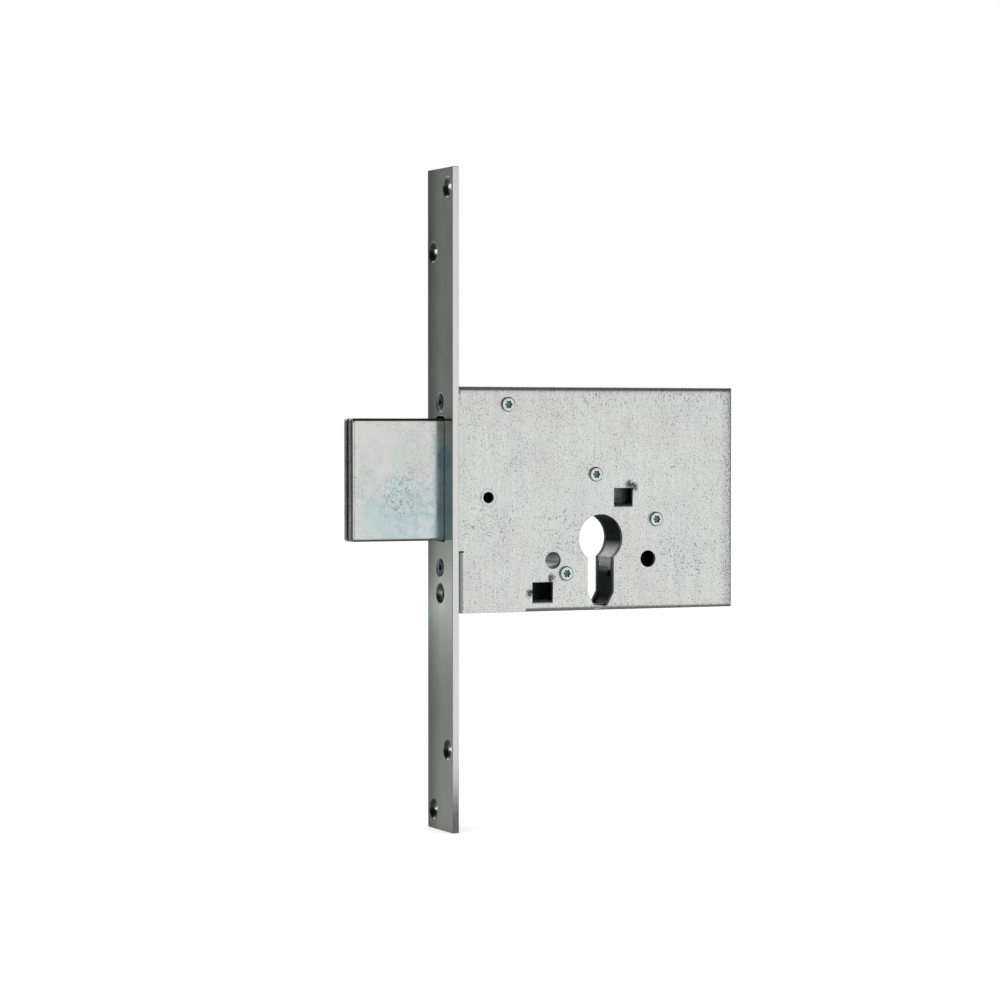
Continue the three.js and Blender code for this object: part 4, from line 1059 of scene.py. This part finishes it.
rounded_copy("case_body", PUNCHED_EDGE)
rounded_copy("cover_plate", PUNCHED_EDGE)
rounded_copy("forend_plate", FOREND_EDGE, steps=3)

# %% [markdown]
# ### The laminated bolt
#
# The bolt is three plates riveted together. The outer edges are rounded well, and the edges between
# the plates hardly at all, so fine grooves run round the end. The middle plate is set back.

# %% Dress the bolt
bolt_low, bolt_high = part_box("bolt_plate_near")
bolt_far_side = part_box("bolt_plate_far")[1].y
OUTER_SKIN = 0.05 * MM
HEAD_EDGE = 1.1 * MM
GROOVE_EDGE = 0.12 * MM
MIDDLE_EDGE = 0.15 * MM


def outside_of_head(middle):
    """True for an edge on the outer face of the bolt's head."""
    skin = min(abs(middle.y - bolt_low.y), abs(middle.y - bolt_far_side))
    return skin < OUTER_SKIN and middle.x < bolt_high.x - OUTER_SKIN


for plate in ("bolt_plate_near", "bolt_plate_far"):
    rounded_copy(plate, GROOVE_EDGE, wide=(HEAD_EDGE, outside_of_head))
rounded_copy("bolt_plate_middle", MIDDLE_EDGE)

# %% [markdown]
# ### Everything inside and behind
#
# Pillars, guides, bearings and gears keep their solid's shape, with edges broken by about a tenth of
# a millimetre. They are seen through the openings and from the open edge of the case.

# %% Dress the inner parts
TURNED = ["front_pillar", "lower_pillar", "upper_idler_pillar", "rear_idler_pillar", "rose_bush"]
TURNED += ["guide_stud", "transfer_axle", "upper_idler_washer", "rear_idler_washer"]
TURNED += [f"bolt_rivet_{i}" for i in range(1, 5)]
FLAT = ["bolt_guide_near", "bolt_guide_far", "guide_stud_clip", "transfer_clip", "drag_spring"]
FLAT += ["passage_guide_left", "passage_guide_right"]
RINGS = ["ring_bearing_near", "ring_bearing_far"]
GEARS = ["upper_idler_gear", "rear_idler_gear", "transfer_wheel", "rack_pinion"]
TURNED_EDGE = 0.12 * MM
FLAT_EDGE = 0.08 * MM
GEAR_EDGE = 0.06 * MM
DRIVER_EDGE = 0.15 * MM

for names, width in ((TURNED, TURNED_EDGE), (FLAT, FLAT_EDGE), (GEARS, GEAR_EDGE)):
    for name in names:
        rounded_copy(name, width)
for name in RINGS:
    rounded_copy(name, FLAT_EDGE, split=True)
rounded_copy("driver_ring", DRIVER_EDGE, steps=3, split=True)

# %% [markdown]
# ### Star-recess screws
#
# A screw is a turned shape whose middle rings change from a circle to a six-lobed star. It could be a
# cylinder with the star cut out, but a single surface keeps the rounded mouth of the recess. Each ring
# is given by its radius, its depth under the top of the head, and how much of a star it is.

# %% Make the screws
AROUND = 96
LOBES = 6
LOBE_DEPTH = 0.17
turn = np.linspace(0, 2 * math.pi, AROUND, endpoint=False)


def closed_surface(name, rings, first_pole, last_pole):
    """A skin over rings of points, closed by a fan to a pole at each end.

    rings is an array of rings, each the same number of points round the axis. Neighbouring rings
    are joined by quads, point to point. If the enclosed volume comes out negative, the skin
    was inside out, and its faces are turned round.
    """
    count, around, _ = rings.shape
    points = np.vstack([rings.reshape(-1, 3), first_pole, last_pole])
    ring = np.arange(count - 1)[:, None] * around
    here = np.arange(around)[None, :]
    after = (here + 1) % around
    quads = np.stack([ring + here, ring + after, ring + around + after, ring + around + here], -1)
    quads = quads.reshape(-1, 4)
    last = (count - 1) * around
    first_fan = np.stack([np.full(around, count * around), after[0], here[0]], -1)
    last_fan = np.stack([np.full(around, count * around + 1), last + here[0], last + after[0]], -1)
    fans = np.vstack([first_fan, last_fan])
    split = np.vstack([quads[:, [0, 1, 2]], quads[:, [0, 2, 3]], fans])
    corners = points[split]
    volume = np.einsum("ij,ij->i", corners[:, 0], np.cross(corners[:, 1], corners[:, 2])).sum()
    if volume < 0:
        quads, fans = quads[:, ::-1], fans[:, ::-1]
    mesh = bpy.data.meshes.new(name)
    mesh.from_pydata(points.tolist(), [], quads.tolist() + fans.tolist())
    mesh.shade_smooth()
    return mesh


def star_screw(cad_name, profile, facing, right, up, head_shade=0.0):
    """A screw along the axis that its head faces. The last argument says how much painted shade the head
    gets outside its recess, from 0 for none to 1 for as dark as the recess.

    profile rows are radius, depth and star share, in mm. A ring's radius at an angle is its radius
    times one plus its star share times the lobe depth times a cosine of six times the angle.
    """
    low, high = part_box(cad_name)
    facing, right, up = (np.array(v, float) for v in (facing, right, up))
    centre = np.array((low + high) / 2)
    size = np.array(high - low)
    top = centre + facing * abs(size @ facing) / 2
    radius, depth, star = (profile[1:-1, i, None] for i in range(3))
    reach = radius * (1 + star * np.cos(LOBES * turn) * LOBE_DEPTH) * MM
    rings = (
        top
        + reach[..., None] * (np.cos(turn)[:, None] * right + np.sin(turn)[:, None] * up)
        - depth[..., None] * MM * facing
    )
    poles = [top - facing * profile[i, 1] * MM for i in (0, -1)]
    mesh = closed_surface(cad_name + "_dressed", rings, *poles)
    mesh.set_sharp_from_angle(angle=SHARP_FROM)
    flat_share = np.zeros(len(mesh.polygons), np.float32)
    mesh.attributes.new("edge", "FLOAT", "FACE").data.foreach_set("value", flat_share)
    quads = (len(rings) - 1) * AROUND
    # Painted shade: full in the recess, part on the rows that round the head, elsewhere as asked.
    shade_share = np.full(len(mesh.polygons), head_shade, np.float32)
    shade_share[:RECESS_WALLS * AROUND] = 1.0
    shade_share[quads:quads + AROUND] = 1.0
    rim = slice(len(RECESS) * AROUND, (len(RECESS) + RIM_RINGS) * AROUND)
    shade_share[rim] = np.maximum(shade_share[rim], RIM_SHADE)
    mesh.attributes.new("screw_shade", "FLOAT", "FACE").data.foreach_set("value", shade_share)
    return dress(bpy.data.objects.new(cad_name + "_dressed", mesh), [cad_name], centre)


def arc_rows(radius, bend, steps=5):
    """Rows that round the head's outer edge by a quarter circle of the given bend radius."""
    angle = np.linspace(0, math.pi / 2, steps)
    across = radius - bend + bend * np.sin(angle)
    down = bend - bend * np.cos(angle)
    return np.stack([across, down, np.zeros(steps)], -1)


RECESS = np.array([
    [0.0, 0.86, 0.0],
    [0.55, 0.8, 0.6],
    [1.05, 0.72, 1.0],
    [1.12, 0.64, 1.0],
    [1.16, 0.16, 1.0],
    [1.2, 0.06, 1.0],
    [1.27, 0.015, 0.9],
    [1.4, 0.0, 0.4],
    [1.7, 0.0, 0.0],
])
RECESS_WALLS = 5
RIM_RINGS = 3
RIM_SHADE = 0.35
CASE_HEAD_RADIUS = 2.65
CASE_HEAD_BEND = 0.5
CASE_SCREW_SHANK = np.array([
    [2.62, 1.0, 0],
    [1.3, 1.0, 0],
    [1.25, 1.1, 0],
    [1.25, 8.7, 0],
    [0.95, 9.0, 0],
    [0, 9.0, 0],
])
CASE_SCREW = np.vstack([RECESS, arc_rows(CASE_HEAD_RADIUS, CASE_HEAD_BEND), CASE_SCREW_SHANK])
for i in range(1, 5):
    star_screw(f"case_screw_{i}", CASE_SCREW, (0, -1, 0), (1, 0, 0), (0, 0, 1))

FOREND_HEAD_RADIUS = 3.12
FOREND_HEAD_BEND = 0.1
FOREND_SCREW_TAIL = np.array([
    [1.92, 1.33, 0],
    [1.9, 1.5, 0],
    [1.9, 8.5, 0],
    [1.5, 8.85, 0],
    [0, 8.85, 0],
])
FOREND_HEAD = arc_rows(FOREND_HEAD_RADIUS, FOREND_HEAD_BEND, steps=3)
FOREND_SCREW = np.vstack([RECESS, FOREND_HEAD, FOREND_SCREW_TAIL])
# Painted shade over the forend screw heads, nearly as dark as their recess.
FOREND_SCREW_HEAD_SHADE = 0.97
for name in ("upper_forend_screw", "lower_forend_screw"):
    star_screw(name, FOREND_SCREW, (-1, 0, 0), (0, 1, 0), (0, 0, 1), head_shade=FOREND_SCREW_HEAD_SHADE)
